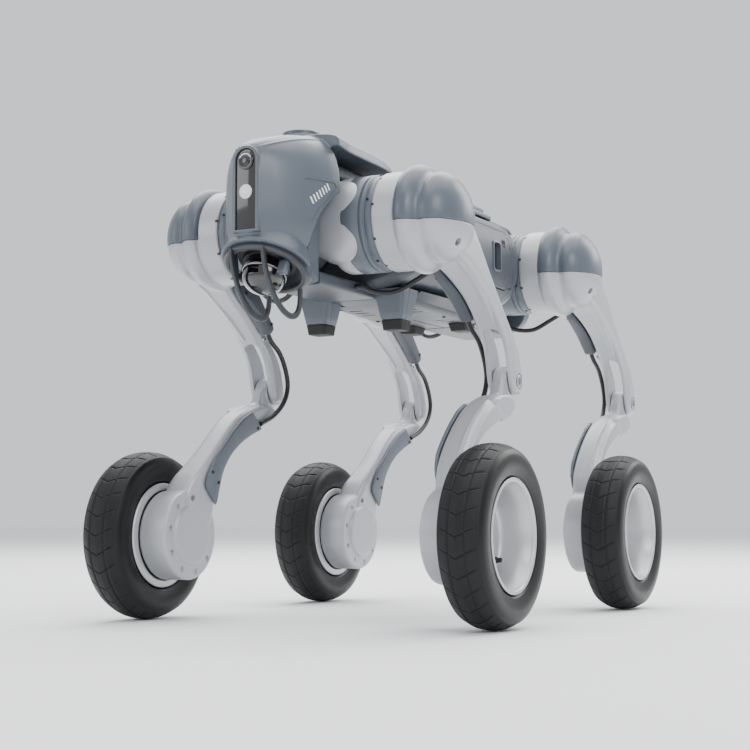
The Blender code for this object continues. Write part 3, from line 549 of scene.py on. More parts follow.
def make_tyre():
    """The tyre as one fine skin, with its tread cut in as real grooves."""
    half = spline(TYRE_HALF, 26)
    outline = half + [(r, -y) for r, y in reversed(half[:-1])]
    lengths = [0.0]
    for a, b in zip(outline, outline[1:]):
        lengths.append(lengths[-1] + math.dist(a, b))
    rows = 86
    profile = []
    for k in range(rows):
        want = lengths[-1] * k / (rows - 1)
        i = max(0, min(len(outline) - 2, next((n for n, v in enumerate(lengths) if v >= want),
                len(lengths) - 1) - 1))
        t = (want - lengths[i]) / max(1e-12, lengths[i + 1] - lengths[i])
        profile.append(tuple(a + (b - a) * t for a, b in zip(outline[i], outline[i + 1])))
    columns = PITCHES * PITCH_STEPS
    pitch = 2 * math.pi * 0.0885 / PITCHES
    verts, faces, kinds = [], [], []
    wave = [[tread_depth(y, pitch * step / PITCH_STEPS,
                         pitch) if r > TREAD_FROM else 0.0 for step in range(PITCH_STEPS)]
            for r, y in profile]
    normals = []
    for k in range(rows):
        a, b = profile[max(0, k - 1)], profile[min(rows - 1, k + 1)]
        size = math.dist(a, b)
        normals.append(((a[1] - b[1]) / size, (b[0] - a[0]) / size))
    for column in range(columns):
        turn = 2 * math.pi * column / columns
        c, s = math.cos(turn), math.sin(turn)
        for k, (r, y) in enumerate(profile):
            deep = wave[k][column % PITCH_STEPS] * GROOVE_DEPTH
            bead = 0.00035 * groove(r - 0.0585, 0.0009) if r < 0.062 else 0.0
            lip = 0.0004 * groove(abs(y) - 0.0203, 0.0008) if r > 0.078 else 0.0
            rad = r - normals[k][0] * (deep - bead - lip)
            side = y - normals[k][1] * (deep - bead - lip)
            verts.append((WHEEL.x + c * rad, WHEEL_Y + side, WHEEL.z + s * rad))
    for column in range(columns):
        ahead = (column + 1) % columns
        for k in range(rows - 1):
            faces.append((column * rows + k, column * rows + k + 1, ahead * rows + k + 1, ahead * rows + k))
            middle = abs((profile[k][1] + profile[k + 1][1]) / 2)
            kinds.append(0 if middle < TREAD_LIMIT and profile[k][0] > TREAD_FROM else 1)
        faces.append((column * rows + rows - 1, column * rows, ahead * rows, ahead * rows + rows - 1))
        kinds.append(1)
    mesh = bpy.data.meshes.new("tyre")
    mesh.from_pydata(verts, [], faces)
    bm = bmesh.new()
    bm.from_mesh(mesh)
    bmesh.ops.recalc_face_normals(bm, faces=bm.faces)
    bm.to_mesh(mesh)
    bm.free()
    mesh.materials.append(MATS["tyre"])
    mesh.materials.append(MATS["sidewall"])
    mesh.polygons.foreach_set("material_index", kinds)
    mesh.polygons.foreach_set("use_smooth", [True] * len(faces))
    tyre = bpy.data.objects.new("tyre", mesh)
    bpy.context.scene.collection.objects.link(tyre)
    return tyre


# The rim seen from outside, then its back, as radius and distance from its middle
RIM_FACE = ((0, -0.0080), (0.0120, -0.0080), (0.0146, -0.0083), (0.0160, -0.0096), (0.0176, -0.0110),
            (0.0205, -0.0116),
            (0.0330, -0.0119), (0.0375, -0.0118), (0.0402, -0.0108), (0.0418, -0.0080), (0.0432, -0.0020),
            (0.0450, 0.0065), (0.0466, 0.0115), (0.0488, 0.0160), (0.0502, 0.0186), (0.0509,
                    0.0204), (0.0518, 0.0217),
            (0.0530, 0.0222), (0.0544, 0.0222), (0.0552, 0.0217), (0.0553, 0.0209))
RIM_BACK = ((0.0530, 0.0174), (0.0527, 0.0165), (0.0527, -0.0165), (0.0530, -0.0174), (0.0553, -0.0212),
            (0.0549, -0.0222), (0.0535, -0.0228), (0.0500, -0.0236), (0.0486, -0.0240), (0.0478, -0.0236),
            (0.0474, -0.0222), (0.0466, -0.0216), (0.0452, -0.0216), (0.0446, -0.0224), (0.0440,
                    -0.0239), (0, -0.0240))


def make_wheels():
    at = (WHEEL.x, WHEEL_Y, WHEEL.z)
    on_legs(make_tyre(), "tyre", None, "wheel")
    face = spline(RIM_FACE[1:], 3)
    on_legs(revolve("rim", ((0, -0.0080), *face, *RIM_BACK), at, (0, 1, 0), 160), "rim", "alloy", "wheel",
            angle=50)
    stem = Vector((WHEEL.x, WHEEL_Y, WHEEL.z)) + Vector((-0.0245, -0.0121, -0.0235))
    valve = [(0, 0), (0.0042, 0), (0.0042, 0.0010), (0.0033, 0.0016), (0.0031, 0.0050), (0.0024, 0.0058),
             (0.0024, 0.0090), (0.0020, 0.0096), (0, 0.0098)]
    on_legs(revolve("valve", valve, stem, (0, 1, 0), 28), "valve", "rubber", "wheel", False)
    ring = [(0.0452, -0.0236), (0.0466, -0.0236), (0.0467, -0.0216), (0.0451, -0.0216)]
    on_legs(revolve("seal", ring, at, (0, 1, 0), 96), "hub_seal", "rubber", "wheel", False)


# ---------------------------------------------------------------- legs
THIGH_ROWS = (  # along, rear, front, inner y, outer y
    (0.010, -0.0270, 0.0330, 0.1180, 0.1630), (0.030, -0.0245, 0.0250, 0.1215, 0.1645),
    (0.055, -0.0242, 0.0130, 0.1265, 0.1648), (0.080, -0.0240, 0.0045, 0.1303, 0.1648),
    (0.105, -0.0243, -0.0032, 0.1315, 0.1648), (0.130, -0.0252, -0.0072, 0.1317, 0.1648),
    (0.150, -0.0262, -0.0080, 0.1317, 0.1648), (0.168, -0.0272, -0.0062, 0.1317, 0.1648),
    (0.182, -0.0270, -0.0008, 0.1317, 0.1648), (0.195, -0.0240, 0.0065, 0.1317, 0.1648),
    (0.206, -0.0185, 0.0125, 0.1317, 0.1648), (0.2165, -0.0130, 0.0135, 0.1320, 0.1645),
    (0.2245, -0.0060, 0.0075, 0.1330, 0.1635))
CALF_ROWS = (
    (0.0205, -0.0160, -0.0040, 0.1330, 0.1625), (0.0290, -0.0155, 0.0065, 0.1322, 0.1635),
    (0.0350, -0.0142, 0.0126, 0.1320, 0.1635), (0.0450, -0.0102, 0.0197, 0.1320, 0.1635),
    (0.0650, 0.0000, 0.0302, 0.1320, 0.1635), (0.0800, 0.0072, 0.0355, 0.1320, 0.1635),
    (0.0950, 0.0134, 0.0385, 0.1320, 0.1635), (0.1100, 0.0182, 0.0403, 0.1320, 0.1635),
    (0.1300, 0.0212, 0.0415, 0.1322, 0.1642), (0.1500, 0.0180, 0.0425, 0.1335, 0.1660),
    (0.1680, 0.0070, 0.0432, 0.1360, 0.1690), (0.1870, -0.0140, 0.0425, 0.1400, 0.1735),
    (0.2180, -0.0300, 0.0330, 0.1440, 0.1760))
CAP_PROFILE = (  # y, radius
    (0.1143, 0.0500), (0.1160, 0.0526), (0.1190, 0.0543), (0.1245, 0.0549), (0.1290, 0.0537), (0.1330,
            0.0502),
    (0.1362, 0.0463), (0.1390, 0.0446), (0.1420, 0.0450), (0.1465, 0.0457), (0.1520, 0.0441), (0.1585,
            0.0396),
    (0.1645, 0.0325), (0.1695, 0.0235), (0.1725, 0.0130), (0.1734, 0.0040))
CAP_CUT_Z = 0.3955
GAP = 0.0003


def thigh_at(u, v, y):
    at = HIP + THIGH_DOWN * u + THIGH_FRONT * v
    return Vector((at.x, y, at.z))


def calf_at(u, v, y):
    at = KNEE + CALF_DOWN * u + CALF_FRONT * v
    return Vector((at.x, y, at.z))


def cap_solid(name, grow, y_first, segments=72):
    profile = [(0, y_first)] + [(r + grow, max(y, y_first)) for y, r in spline(CAP_PROFILE, 3)] + [(0,
            0.1736 + grow)]
    return y_turn(name, profile, HIP, segments)


def slab(name, z0, z1):
    return block(name, (HIP.x - 0.09, 0.09, z0), (HIP.x + 0.09, 0.20, z1))


def y_disc(name, centre, radius, y0, y1, edge=0.0, segments=48):
    profile = [(0, y0), (radius - edge, y0), (radius, y0 + edge), (radius, y1 - edge), (radius - edge, y1),
               (0, y1)]
    return y_turn(name, profile if edge else [profile[0], (radius, y0), (radius, y1), profile[-1]], centre,
                  segments)


def make_thigh():
    thigh = loft("thigh", [leg_ring(HIP, THIGH_DOWN, THIGH_FRONT, *row,
                                    radius=0.0075) for row in spline(THIGH_ROWS, 5)])
    above = cap_solid("above", 0.004, 0.1141)
    cut(above, slab("under", 0.30, CAP_CUT_Z - GAP))
    cut(thigh, above)
    lower = cap_solid("lower", -0.0004, 0.1132)
    cut(lower, slab("over", CAP_CUT_Z - GAP, 0.50))
    # the window between the two prongs, with a round top
    tall, top, mid, half = 0.080, 0.1540, 0.1481, 0.0091
    rings = []
    for v in (-0.05, 0.05):
        ring = [thigh_at(top + tall, v, mid - half), thigh_at(top + tall, v, mid + half)]
        for k in range(13):
            turn = math.pi * k / 12
            ring.append(thigh_at(top - 0.007 * math.sin(turn), v, mid + half * math.cos(turn)))
        rings.append(ring)
    cut(thigh, loft("window", rings))
    ridge = [thigh_at(u, v, y) for u, v, y in ((0.014, 0.0290, 0.1550), (0.037, 0.0200, 0.1555), (0.062,
            0.0088, 0.1560),
                                               (0.088, 0.0006, 0.1560), (0.116, -0.0064, 0.1550), (0.140,
                                                       -0.0095, 0.1530))]
    ridge = [Vector(p) for p in spline([tuple(p) for p in ridge], 5)]
    soft = loft("ridge", tube_rings(ridge, 0.0028, 10))
    core = y_turn("core", [(0, 0.0898), (0.0490, 0.0898), (0.0500, 0.0908), (0.0500, 0.1130), (0.0490,
            0.1140),
                           (0.0432, 0.1140), (0.0432, 0.1337), (0.0377, 0.1337), (0.0377, 0.1497), (0,
                                   0.1497)], HIP, 96)
    add(thigh, lower, core, soft)
    recast(thigh, 0.0009, 5, 0.5)
    bore = y_disc("bore", KNEE, 0.0085, 0.1632, 0.20)
    socket = y_disc("socket", HIP + THIGH_DOWN * 0.0125 + THIGH_FRONT * 0.0265, 0.0038, 0.1510, 0.20, 0.0,
                    32)
    cut(thigh, add(bore, socket))
    on_legs(thigh, "thigh", "silver", "upper_leg")
    # knee bolt and fasteners
    bolt = screw_head((KNEE.x, 0.1638, KNEE.z), (0, 1, 0), 0.0066, 0.0012, 36)
    at = HIP + THIGH_DOWN * 0.0125 + THIGH_FRONT * 0.0265
    inner = screw_head((at.x, 0.1535, at.z), (0, 1, 0), 0.0030, 0.0012)
    boss = thigh_at(0.1450, -0.0150, 0.1308)
    face = screw_head(boss, (0, -1, 0), 0.0030, 0.0010)
    on_legs(gather("bolts", [bolt, inner, face]), "thigh_bolts", "steel", "upper_leg", False)


def make_cap():
    cap = cap_solid("cap", 0.0, 0.1143, 128)
    cut(cap, slab("under", 0.30, CAP_CUT_Z))
    room = [(0, 0.10), (0.0435, 0.10), (0.0435, 0.1340), (0.0380, 0.1340), (0.0380, 0.1500), (0, 0.1500)]
    cut(cap, y_turn("room", room, HIP, 64))
    bevelled(cap, 0.0009, 3, 50)
    on_legs(cap, "thigh_cap", "shell", "upper_leg")
    # dark marks on the inner edge of the band
    marks, screws = [], []
    for turn in (-68, -28, 12, 52, 100, 150, 200, 245):
        c, s = math.cos(math.radians(turn)), math.sin(math.radians(turn))
        at = Vector((HIP.x + c * 0.0494, 0.0914, HIP.z + s * 0.0494))
        mark = block("mark", (-0.0009, -0.0015, -0.0014), (0.0009, 0.0015, 0.0014))
        mark.data.transform(Matrix.Translation(at) @ Matrix.Rotation(-math.radians(turn), 4, "Y"))
        marks.append(bevelled(mark, 0.0002, 1))
    on_legs(gather("marks", marks), "band_marks", "dark", "upper_leg", False)


def strip(name, origin, down, front, rows, radius=0.0035):
    return loft(name, [leg_ring(origin, down, front, *row, radius=radius,
                                per_corner=5) for row in spline(rows, 4)])


def make_covers():
    rows = ((0.0560, -0.0190, 0.0060, 0.1165, 0.1245), (0.0580, -0.0208, 0.0080, 0.1150, 0.1250),
            (0.0700, -0.0212, 0.0060, 0.1150, 0.1272), (0.0850, -0.0214, 0.0010, 0.1150, 0.1293),
            (0.1050, -0.0218, -0.0048, 0.1155, 0.1305), (0.1280, -0.0225, -0.0085, 0.1160, 0.1308),
            (0.1350, -0.0220, -0.0092, 0.1165, 0.1308), (0.1365, -0.0210, -0.0105, 0.1175, 0.1305))
    cover = strip("cover", HIP, THIGH_DOWN, THIGH_FRONT, rows)
    on_legs(cover, "thigh_cover", "body", "upper_leg")
    heads = [screw_head(thigh_at(0.066, -0.0165, 0.1149), (0, -1, 0), 0.0022, 0.0007),
             screw_head(thigh_at(0.070, 0.0015, 0.1149), (0, -1, 0), 0.0022, 0.0007),
             screw_head(thigh_at(0.128, -0.0185, 0.1159), (0, -1, 0), 0.0022, 0.0007)]
    on_legs(gather("heads", heads), "cover_screws", "black_screw", "upper_leg", False)
    rows = ((0.0630, 0.0010, 0.0250, 0.1285, 0.1318), (0.0645, 0.0005, 0.0275, 0.1275, 0.1319),
            (0.0800, 0.0082, 0.0335, 0.1275, 0.1319), (0.0950, 0.0144, 0.0363, 0.1276, 0.1319),
            (0.1100, 0.0192, 0.0382, 0.1277, 0.1319), (0.1300, 0.0222, 0.0393, 0.1280, 0.1321),
            (0.1500, 0.0190, 0.0400, 0.1293, 0.1333), (0.1640, 0.0110, 0.0370, 0.1310, 0.1348),
            (0.1760, 0.0010, 0.0310, 0.1338, 0.1362), (0.1800, -0.0010, 0.0240, 0.1352, 0.1372))
    cover = strip("cover", KNEE, CALF_DOWN, CALF_FRONT, rows, 0.0025)
    on_legs(cover, "calf_cover", "shell", "lower_leg")
    heads = [screw_head(calf_at(u, v, y), (0, -1, 0), 0.0018, 0.0006)
             for u, v, y in ((0.0690, 0.0072, 0.1274), (0.1640, 0.0165, 0.1309), (0.1640, 0.0320, 0.1309))]
    on_legs(gather("heads", heads), "calf_cover_screws", "black_screw", "lower_leg", False)


def make_calf():
    calf = loft("calf", [leg_ring(KNEE, CALF_DOWN, CALF_FRONT, *row,
                                  radius=0.0085) for row in spline(CALF_ROWS, 5)])
    tongue_rows = ((0.0, -0.0160, 0.0160), (0.015, -0.0160, 0.0150), (0.030, -0.0150, 0.0110), (0.045,
            -0.0095, 0.0180))
    tongue = loft("tongue", [leg_ring(KNEE, CALF_DOWN, CALF_FRONT, u, v0, v1, 0.1412, 0.1554, 0.004)
                             for u, v0, v1 in spline(tongue_rows, 3)])
    # the raised ledge under the knee, and the ridge that runs down from it
    ledge_rows = ((0.0270, -0.0120, 0.0050, 0.1450, 0.1650), (0.0330, -0.0125, 0.0110, 0.1450, 0.1655),
                  (0.0450, -0.0095, 0.0215, 0.1450, 0.1655), (0.0570, -0.0040, 0.0275, 0.1450, 0.1655),
                  (0.0620, -0.0010, 0.0285, 0.1450, 0.1640))
    ledge = loft("ledge", [leg_ring(KNEE, CALF_DOWN, CALF_FRONT, *row,
                                    radius=0.0035) for row in ledge_rows])
    ridge = [Vector(p) for p in spline([tuple(calf_at(u, v, y)) for u, v, y in (
        (0.050, 0.0205, 0.1560), (0.068, 0.0300, 0.1545), (0.095, 0.0370, 0.1540), (0.123, 0.0398, 0.1540),
        (0.150, 0.0410, 0.1560), (0.176, 0.0418, 0.1590))], 5)]
    soft = loft("ridge", tube_rings(ridge, 0.0020, 10))
    eye = y_disc("eye", KNEE, 0.0160, 0.1400, 0.1562, 0.001)
    pin = y_disc("pin", KNEE, 0.0060, 0.1330, 0.1620, 0.0, 32)
    hub = revolve("hub", [(0, 0.1410), (0.0295, 0.1410), (0.0312, 0.1422), (0.0325, 0.1445), (0.0438,
            0.1445),
                          (0.0460, 0.1452), (0.0470, 0.1475), (0.0470, 0.1755), (0.0460, 0.1765), (0,
                                  0.1765)],
                  (WHEEL.x, 0, WHEEL.z), (0, 1, 0), 96)
    add(calf, tongue, ledge, soft, eye, pin, hub)
    recast(calf, 0.0009, 4, 0.5)
    sockets, heads = [], []
    for k in range(7):
        turn = math.radians(-140 + 38 * k)
        at = (WHEEL.x + 0.0390 * math.cos(turn), 0.1445, WHEEL.z + 0.0390 * math.sin(turn))
        sockets.append(revolve("socket", [(0, -0.004), (0.0031, -0.004), (0.0031, 0.0014), (0, 0.0014)], at,
                               (0, 1, 0), 24))
        heads.append(screw_head((at[0], at[1] + 0.0010, at[2]), (0, -1, 0), 0.0025, 0.0008))
    cut(calf, gather("sockets", sockets))
    on_legs(calf, "calf", "silver", "lower_leg")
    on_legs(gather("heads", heads), "hub_screws", "steel", "lower_leg", False)


def make_hips():
    x0, at = -0.0495, (HIP_X, ABDUCT_Y, HIP_Z)
    barrel = [(0.0300, x0), (0.0385, -0.0470), (0.0412, -0.0448), (0.0425, -0.0410), (0.0425, -0.0392),
              (0.0421, -0.0388),
              (0.0421, -0.0380), (0.0425, -0.0376), (0.0425, 0.0240)]
    dome = spline([(0.0425, 0.0240), (0.0395, 0.0370), (0.0320, 0.0448), (0.0180, 0.0486), (0.0030,
            0.0492)], 6)
    hip = revolve("hip", [(0, x0), *barrel, *dome[1:], (0, 0.0492)], at, (1, 0, 0), 128)
    on_legs(hip, "hip_motor", "silver", "hip_link", False, True)
    drum = [(0, 0.0550), (0.0484, 0.0550), (0.0492, 0.0554), (0.0495, 0.0562), (0.0495, 0.0742), (0.0492,
            0.0747),
            (0.0484, 0.0749), (0.0484, 0.0757), (0.0491, 0.0759), (0.0494, 0.0765), (0.0494,
                    0.0792), (0.0490, 0.0800),
            (0.0483, 0.0803), (0.0479, 0.0812), (0.0483, 0.0820), (0.0483, 0.0885), (0.0476, 0.0895), (0,
                    0.0895)]
    on_legs(y_turn("drum", drum, HIP, 144), "hip", "shell", "hip_link", True, True)
    collar = [(0, 0.0360), (0.0440, 0.0360), (0.0470, 0.0372), (0.0484, 0.0400), (0.0488, 0.0430), (0.0488,
            0.0546),
              (0.0480, 0.0560), (0, 0.0560)]
    on_legs(y_turn("collar", collar, HIP, 144), "hip_collar", "silver", "hip_link", False, True)
    heads = []
    for turn in (205, 255, 300, 20, 70):
        c, s = math.cos(math.radians(turn)), math.sin(math.radians(turn))
        heads.append(screw_head((HIP_X + c * 0.0488, 0.0843, HIP_Z + s * 0.0488), (c, 0, s), 0.0014,
                                0.0005))
    on_legs(gather("heads", heads), "hip_screws", "black_screw", "hip_link", False, True)


def cable_mesh(route, radius, ribbed=0.0, steps=10):
    points = [Vector(p) for p in spline([tuple(p) for p in route], steps)]
    fine = [points[0]]
    for a, b in zip(points, points[1:]):
        count = max(1, round((b - a).length / 0.0007))
        fine += [a.lerp(b, (k + 1) / count) for k in range(count)]
    rib = (lambda s: 1.0 + ribbed * math.sin(2 * math.pi * s / 0.0032)) if ribbed else None
    return loft("cable", tube_rings(fine, radius, 18, rib))


def bend_legs(template, kind, key, bodies, start, end, replaces, slot):
    for front_end, word, side, hand in LEGS:
        tag = f"{word}_{hand}"
        move = 0.0 if front_end > 0 else -2 * HIP_X
        mesh = template.data.copy()
        place = Matrix.Translation((move + SHIFT, 0, 0)) @ Matrix.Diagonal((1, side, 1, 1))
        mesh.transform(place)
        if side < 0:
            mesh.flip_normals()
        obj = bpy.data.objects.new(f"{kind}_v_{tag}", mesh)
        bpy.context.scene.collection.objects.link(obj)
        shade(obj, key)
        if replaces:
            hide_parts(f"{kind}_{tag}")
        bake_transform(obj)
    bpy.data.objects.remove(template, do_unlink=True)


def make_cables():
    first = HIP + THIGH_DOWN * 0.1370 - THIGH_FRONT * 0.0150
    low = HIP + THIGH_DOWN * 0.1500 - THIGH_FRONT * 0.0150
    end = KNEE + CALF_DOWN * 0.0608 + CALF_FRONT * 0.0065
    upper, lower = (KNEE.x + 0.0129, 0.1240, KNEE.z + 0.0430), (KNEE.x + 0.0215, 0.1265, KNEE.z - 0.0280)
    route = [(first.x, 0.1235, first.z), (low.x, 0.1238, low.z), upper, (KNEE.x - 0.0003, 0.1242,
            KNEE.z + 0.0250),
             (KNEE.x - 0.0055, 0.1245, KNEE.z + 0.0062), (KNEE.x + 0.0022, 0.1250, KNEE.z - 0.0120), lower,
             (end.x, 0.1285, end.z)]
    bend_legs(cable_mesh(route, 0.0027, 0.05), "knee_cable", "cable", ("upper_leg", "lower_leg"), upper,
              lower, True,
              "cable")
    end = HIP + THIGH_DOWN * 0.0660 - THIGH_FRONT * 0.0060
    bend = ((HIP_X - 0.0290, 0.0560, 0.3385), (HIP_X - 0.0440, 0.0930, 0.3500))
    route = [(HIP_X - 0.0220, 0.0346, 0.3447), (HIP_X - 0.0230, 0.0420, 0.3440), bend[0], (HIP_X - 0.0370,
            0.0740, 0.3390),
             bend[1], (end.x, 0.1066, end.z - 0.0006), (end.x, 0.1146, end.z)]
    bend_legs(cable_mesh(route, 0.0027), "hip_cable", "cable", ("hip_link", "upper_leg"), *bend, True,
              "cable")


# ---------------------------------------------------------------- head
NOSE_X = 0.3262
COLLAR = Vector((0.287, 0.0, 0.352))
TILT = math.radians(25)
DOWN = Vector((math.sin(TILT), 0, -math.cos(TILT)))
BEAM_W = 0.0275
HOOD = (  # x, half width, underside z, top z, roundness
    (0.3262, 0.0150, 0.3800, 0.4620, 3.2), (0.3225, 0.0190, 0.3740, 0.4665, 3.0), (0.3120, 0.0300, 0.3665,
            0.4720, 2.8),
    (0.2980, 0.0405, 0.3590, 0.4775, 2.8), (0.2800, 0.0510, 0.3500, 0.4830, 2.9), (0.2620, 0.0580, 0.3420,
            0.4865, 3.0),
    (0.2470, 0.0610, 0.3350, 0.4885, 3.2))
CANOPY = ((0.2480, 0.0600, 0.4885), (0.2300, 0.0565, 0.4900), (0.2100, 0.0530, 0.4905), (0.1700, 0.0510,
        0.4905),
          (0.1300, 0.0490, 0.4880), (0.1050, 0.0450, 0.4830), (0.0890, 0.0380, 0.4760))


def hood(name, inset=0.0, count=112, steps=7):
    rings = []
    for x, w, z0, z1, power in spline(HOOD, steps):
        rings.append([(x - (inset if x > 0.32 else 0), a, (z0 + z1) / 2 + b)
                      for a, b in squircle(w - inset, (z1 - z0) / 2 - inset, power, count)])
    return loft(name, rings)


def canopy_ring(x, w, top, low=0.4735):
    """Flat underside, upright lower edge and a rounded top."""
    pts = [(x, -w, low), (x, -w, low + 0.003)]
    for k in range(1, 24):
        turn = math.pi * (1 - k / 24)
        pts.append((x, w * math.copysign(abs(math.cos(turn)) ** 0.55, math.cos(turn)),
                    low + 0.003 + (top - low - 0.003) * math.sin(turn) ** 0.62))
    return pts + [(x, w, low + 0.003), (x, w, low)]


def window_outline(half, z0, z1, steps=16):
    out = [(-half, z0), (half, z0), (half, z1)]
    for k in range(1, steps):
        turn = math.pi * k / steps
        out.append((half * math.cos(turn), z1 + half * math.sin(turn)))
    return out + [(-half, z1)]


def side_prism(outline, side):
    y0, y1 = sorted((side * 0.020, side * 0.090))
    return prism_y("side", outline, y0, y1)


def make_head():
    head = hood("head", count=96, steps=5)
    combine(head, loft("canopy", [canopy_ring(*row) for row in spline(CANOPY, 4)]), "UNION")
    lip = spline(((0.0400, -0.020), (0.0432, -0.011), (0.0455, -0.004), (0.0464, -0.0015), (0.0455, 0.0)),
                 4)
    combine(head, revolve("lip", [(0, -0.020), *lip, (0, 0.0)], COLLAR, DOWN, 96), "UNION")
    low = COLLAR + DOWN * 0.0001
    cut(head, prism_y("slab", [(low.x - 0.2 * math.cos(TILT), low.z - 0.2 * math.sin(TILT)),
                               (low.x + 0.2 * math.cos(TILT), low.z + 0.2 * math.sin(TILT)),
                               (low.x + 0.3, low.z - 0.2), (low.x - 0.2, low.z - 0.3)], -0.2, 0.2))
    arc = spline([(0.278, 0.300), (0.2800, 0.370), (0.2785, 0.388), (0.2720, 0.404), (0.2590, 0.418),
                  (0.2460, 0.428),
                  (0.2380, 0.445), (0.2250, 0.466)], 4) + [(0.2180, 0.4736), (0.05, 0.4736), (0.05, 0.300)]
    for side in (1, -1):
        y0, y1 = sorted((side * 0.0360, side * 0.12))
        cut(head, prism_y("cheek", arc, y0, y1))
    cut(head, revolve("well", [(0, -0.060), (0.0370, -0.060), (0.0370, 0.05), (0, 0.05)], COLLAR, DOWN, 96))
    gap = BEAM_W + GAP
    cut(head, block("neck", (0.20, -gap, 0.4537), (0.2623, gap, 0.4703)))
    bezel = prism_x("bezel", window_outline(0.0148, 0.3795, 0.4495), NOSE_X - 0.0120, NOSE_X + 0.0006)
    creases = []
    c, s = math.cos(math.radians(58)), math.sin(math.radians(58))
    for side in (1, -1):
        line = [Vector((x, side * w * c ** (2 / p), (z0 + z1) / 2 + (z1 - z0) / 2 * s ** (2 / p)))
                for x, w, z0, z1, p in spline(HOOD[1:], 6)]
        creases.append(loft("crease", tube_rings(line, 0.0012, 10)))
    add(head, bezel, *creases)
    recast(head, 0.0009, 5, 0.5)
    seat = prism_x("seat", window_outline(0.01155, 0.3822, 0.4497, 32), NOSE_X - 0.0042, 0.34)
    cut(head, seat)
    for side in (1, -1):
        frame_line = [(0.2890, 0.3930), (0.2930, 0.4000), (0.2930, 0.4300), (0.2895, 0.4345), (0.2560,
                0.4345),
                      (0.2530, 0.4310), (0.2640, 0.4180), (0.2760, 0.4060), (0.2825, 0.3930)]
        cutter = side_prism(frame_line, side)
        cut(cutter, hood("under", 0.0007))
        cut(head, cutter)
    on_trunk(head, "head_shell_v", "shell", "head_shell")
    stripes = []
    for side in (1, -1):
        for k in range(7):
            x, z = 0.2620 + 0.0031 * k, 0.4300 - 0.0026 * k
            bar = [(x, z - 0.0040), (x + 0.0016, z - 0.0040), (x + 0.0046, z + 0.0024), (x + 0.0030,
                    z + 0.0024)]
            stripes.append(side_prism(bar, side))
    marks = gather("marks", stripes)
    combine(marks, hood("skin", 0.00055), "INTERSECT")
    cut(marks, hood("core", 0.0011))
    on_trunk(marks, "head_marks", "mark")


def make_face():
    window = prism_x("window", window_outline(0.01125, 0.3825, 0.4495, 32), NOSE_X - 0.0039,
                     NOSE_X - 0.0010)
    on_trunk(bevelled(window, 0.0007, 3), "face_window_v", "gloss_black", "face_window")
    face, lens_z, lamp_z = NOSE_X - 0.0010 + GAP, 0.449, 0.419
    lens = spline([(0.0085, 0.0), (0.0085, 0.0010), (0.0076, 0.0016), (0.0062, 0.0015), (0.0050, 0.0009)],
                  4)
    on_trunk(revolve("lens", [(0, 0), *lens, (0.0044, 0.0006), (0, 0.0006)], (face, 0, lens_z), (1, 0, 0),
                     72),
             "camera_lens_v", "gloss_black", "camera_lens")
    dome = [(0.0041 * math.sin(math.pi / 2 * k / 10),
             0.0007 + 0.0009 * math.cos(math.pi / 2 * k / 10)) for k in range(11)]
    on_trunk(revolve("glass", [*dome, (0.0041, 0.0006), (0, 0.0006)], (face, 0, lens_z), (1, 0, 0), 48),
             "lens_glass", "glass")
    rings = []
    for k in range(15):
        turn = math.radians(25 + 130 * k / 14)
        c, s = math.cos(turn), math.sin(turn)
        rings.append([(face + h, c * r, lens_z + s * r) for r, h in ((0.0063, 0.0012), (0.0071, 0.0012),
                (0.0071, 0.00185),
                                                                    (0.0063, 0.00185))])
    on_trunk(loft("arc", rings), "lens_arc", "mark")
    lamp = [(0.0070, 0), (0.0070, 0.0006), (0.0066, 0.0010), (0.0060, 0.0012), (0.0058, 0.0009), (0.0030,
            0.0013),
            (0, 0.0014)]
    on_trunk(revolve("lamp", [(0, 0), *lamp], (face, 0, lamp_z), (1, 0, 0), 64), "face_lamp_v", "lamp",
             "face_lamp")
    knob = spline([(0.0212, 0.4908), (0.0210, 0.4924), (0.0200, 0.4938), (0.0193, 0.4948), (0.0193, 0.4972),
                   (0.0188, 0.4984), (0.0176, 0.4990)], 4)
    on_trunk(revolve("knob", [(0, 0.4908), *knob, (0.0120, 0.49895), (0.0118, 0.4984), (0, 0.4984)], (0.220,
            0, 0),
                     (0, 0, 1), 96), "top_knob_v", "shell", "top_knob")


def hoop_points(y, count=60):
    along = Vector((math.cos(TILT), 0, math.sin(TILT)))
    out = []
    for k in range(count):
        turn = math.pi * k / (count - 1)
        fall = Vector((-0.10, 0, -0.995)) * (0.0425 * math.sin(turn) ** 0.85)
        at = COLLAR + DOWN * 0.0030 + along * (0.0385 * math.cos(turn)) + fall
        out.append(Vector((at.x, y, at.z)))
    return out


def flat_tube(name, points, half_y, half_n):
    rings, side = [], Vector((0, 1, 0))
    for i, point in enumerate(points):
        ahead = (points[min(i + 1, len(points) - 1)] - points[max(i - 1, 0)]).normalized()
        out = ahead.cross(side).normalized()
        rings.append([point + side * a + out * b for a, b in round_rect(half_y, half_n, 0.0008, 4)])
    return loft(name, rings)


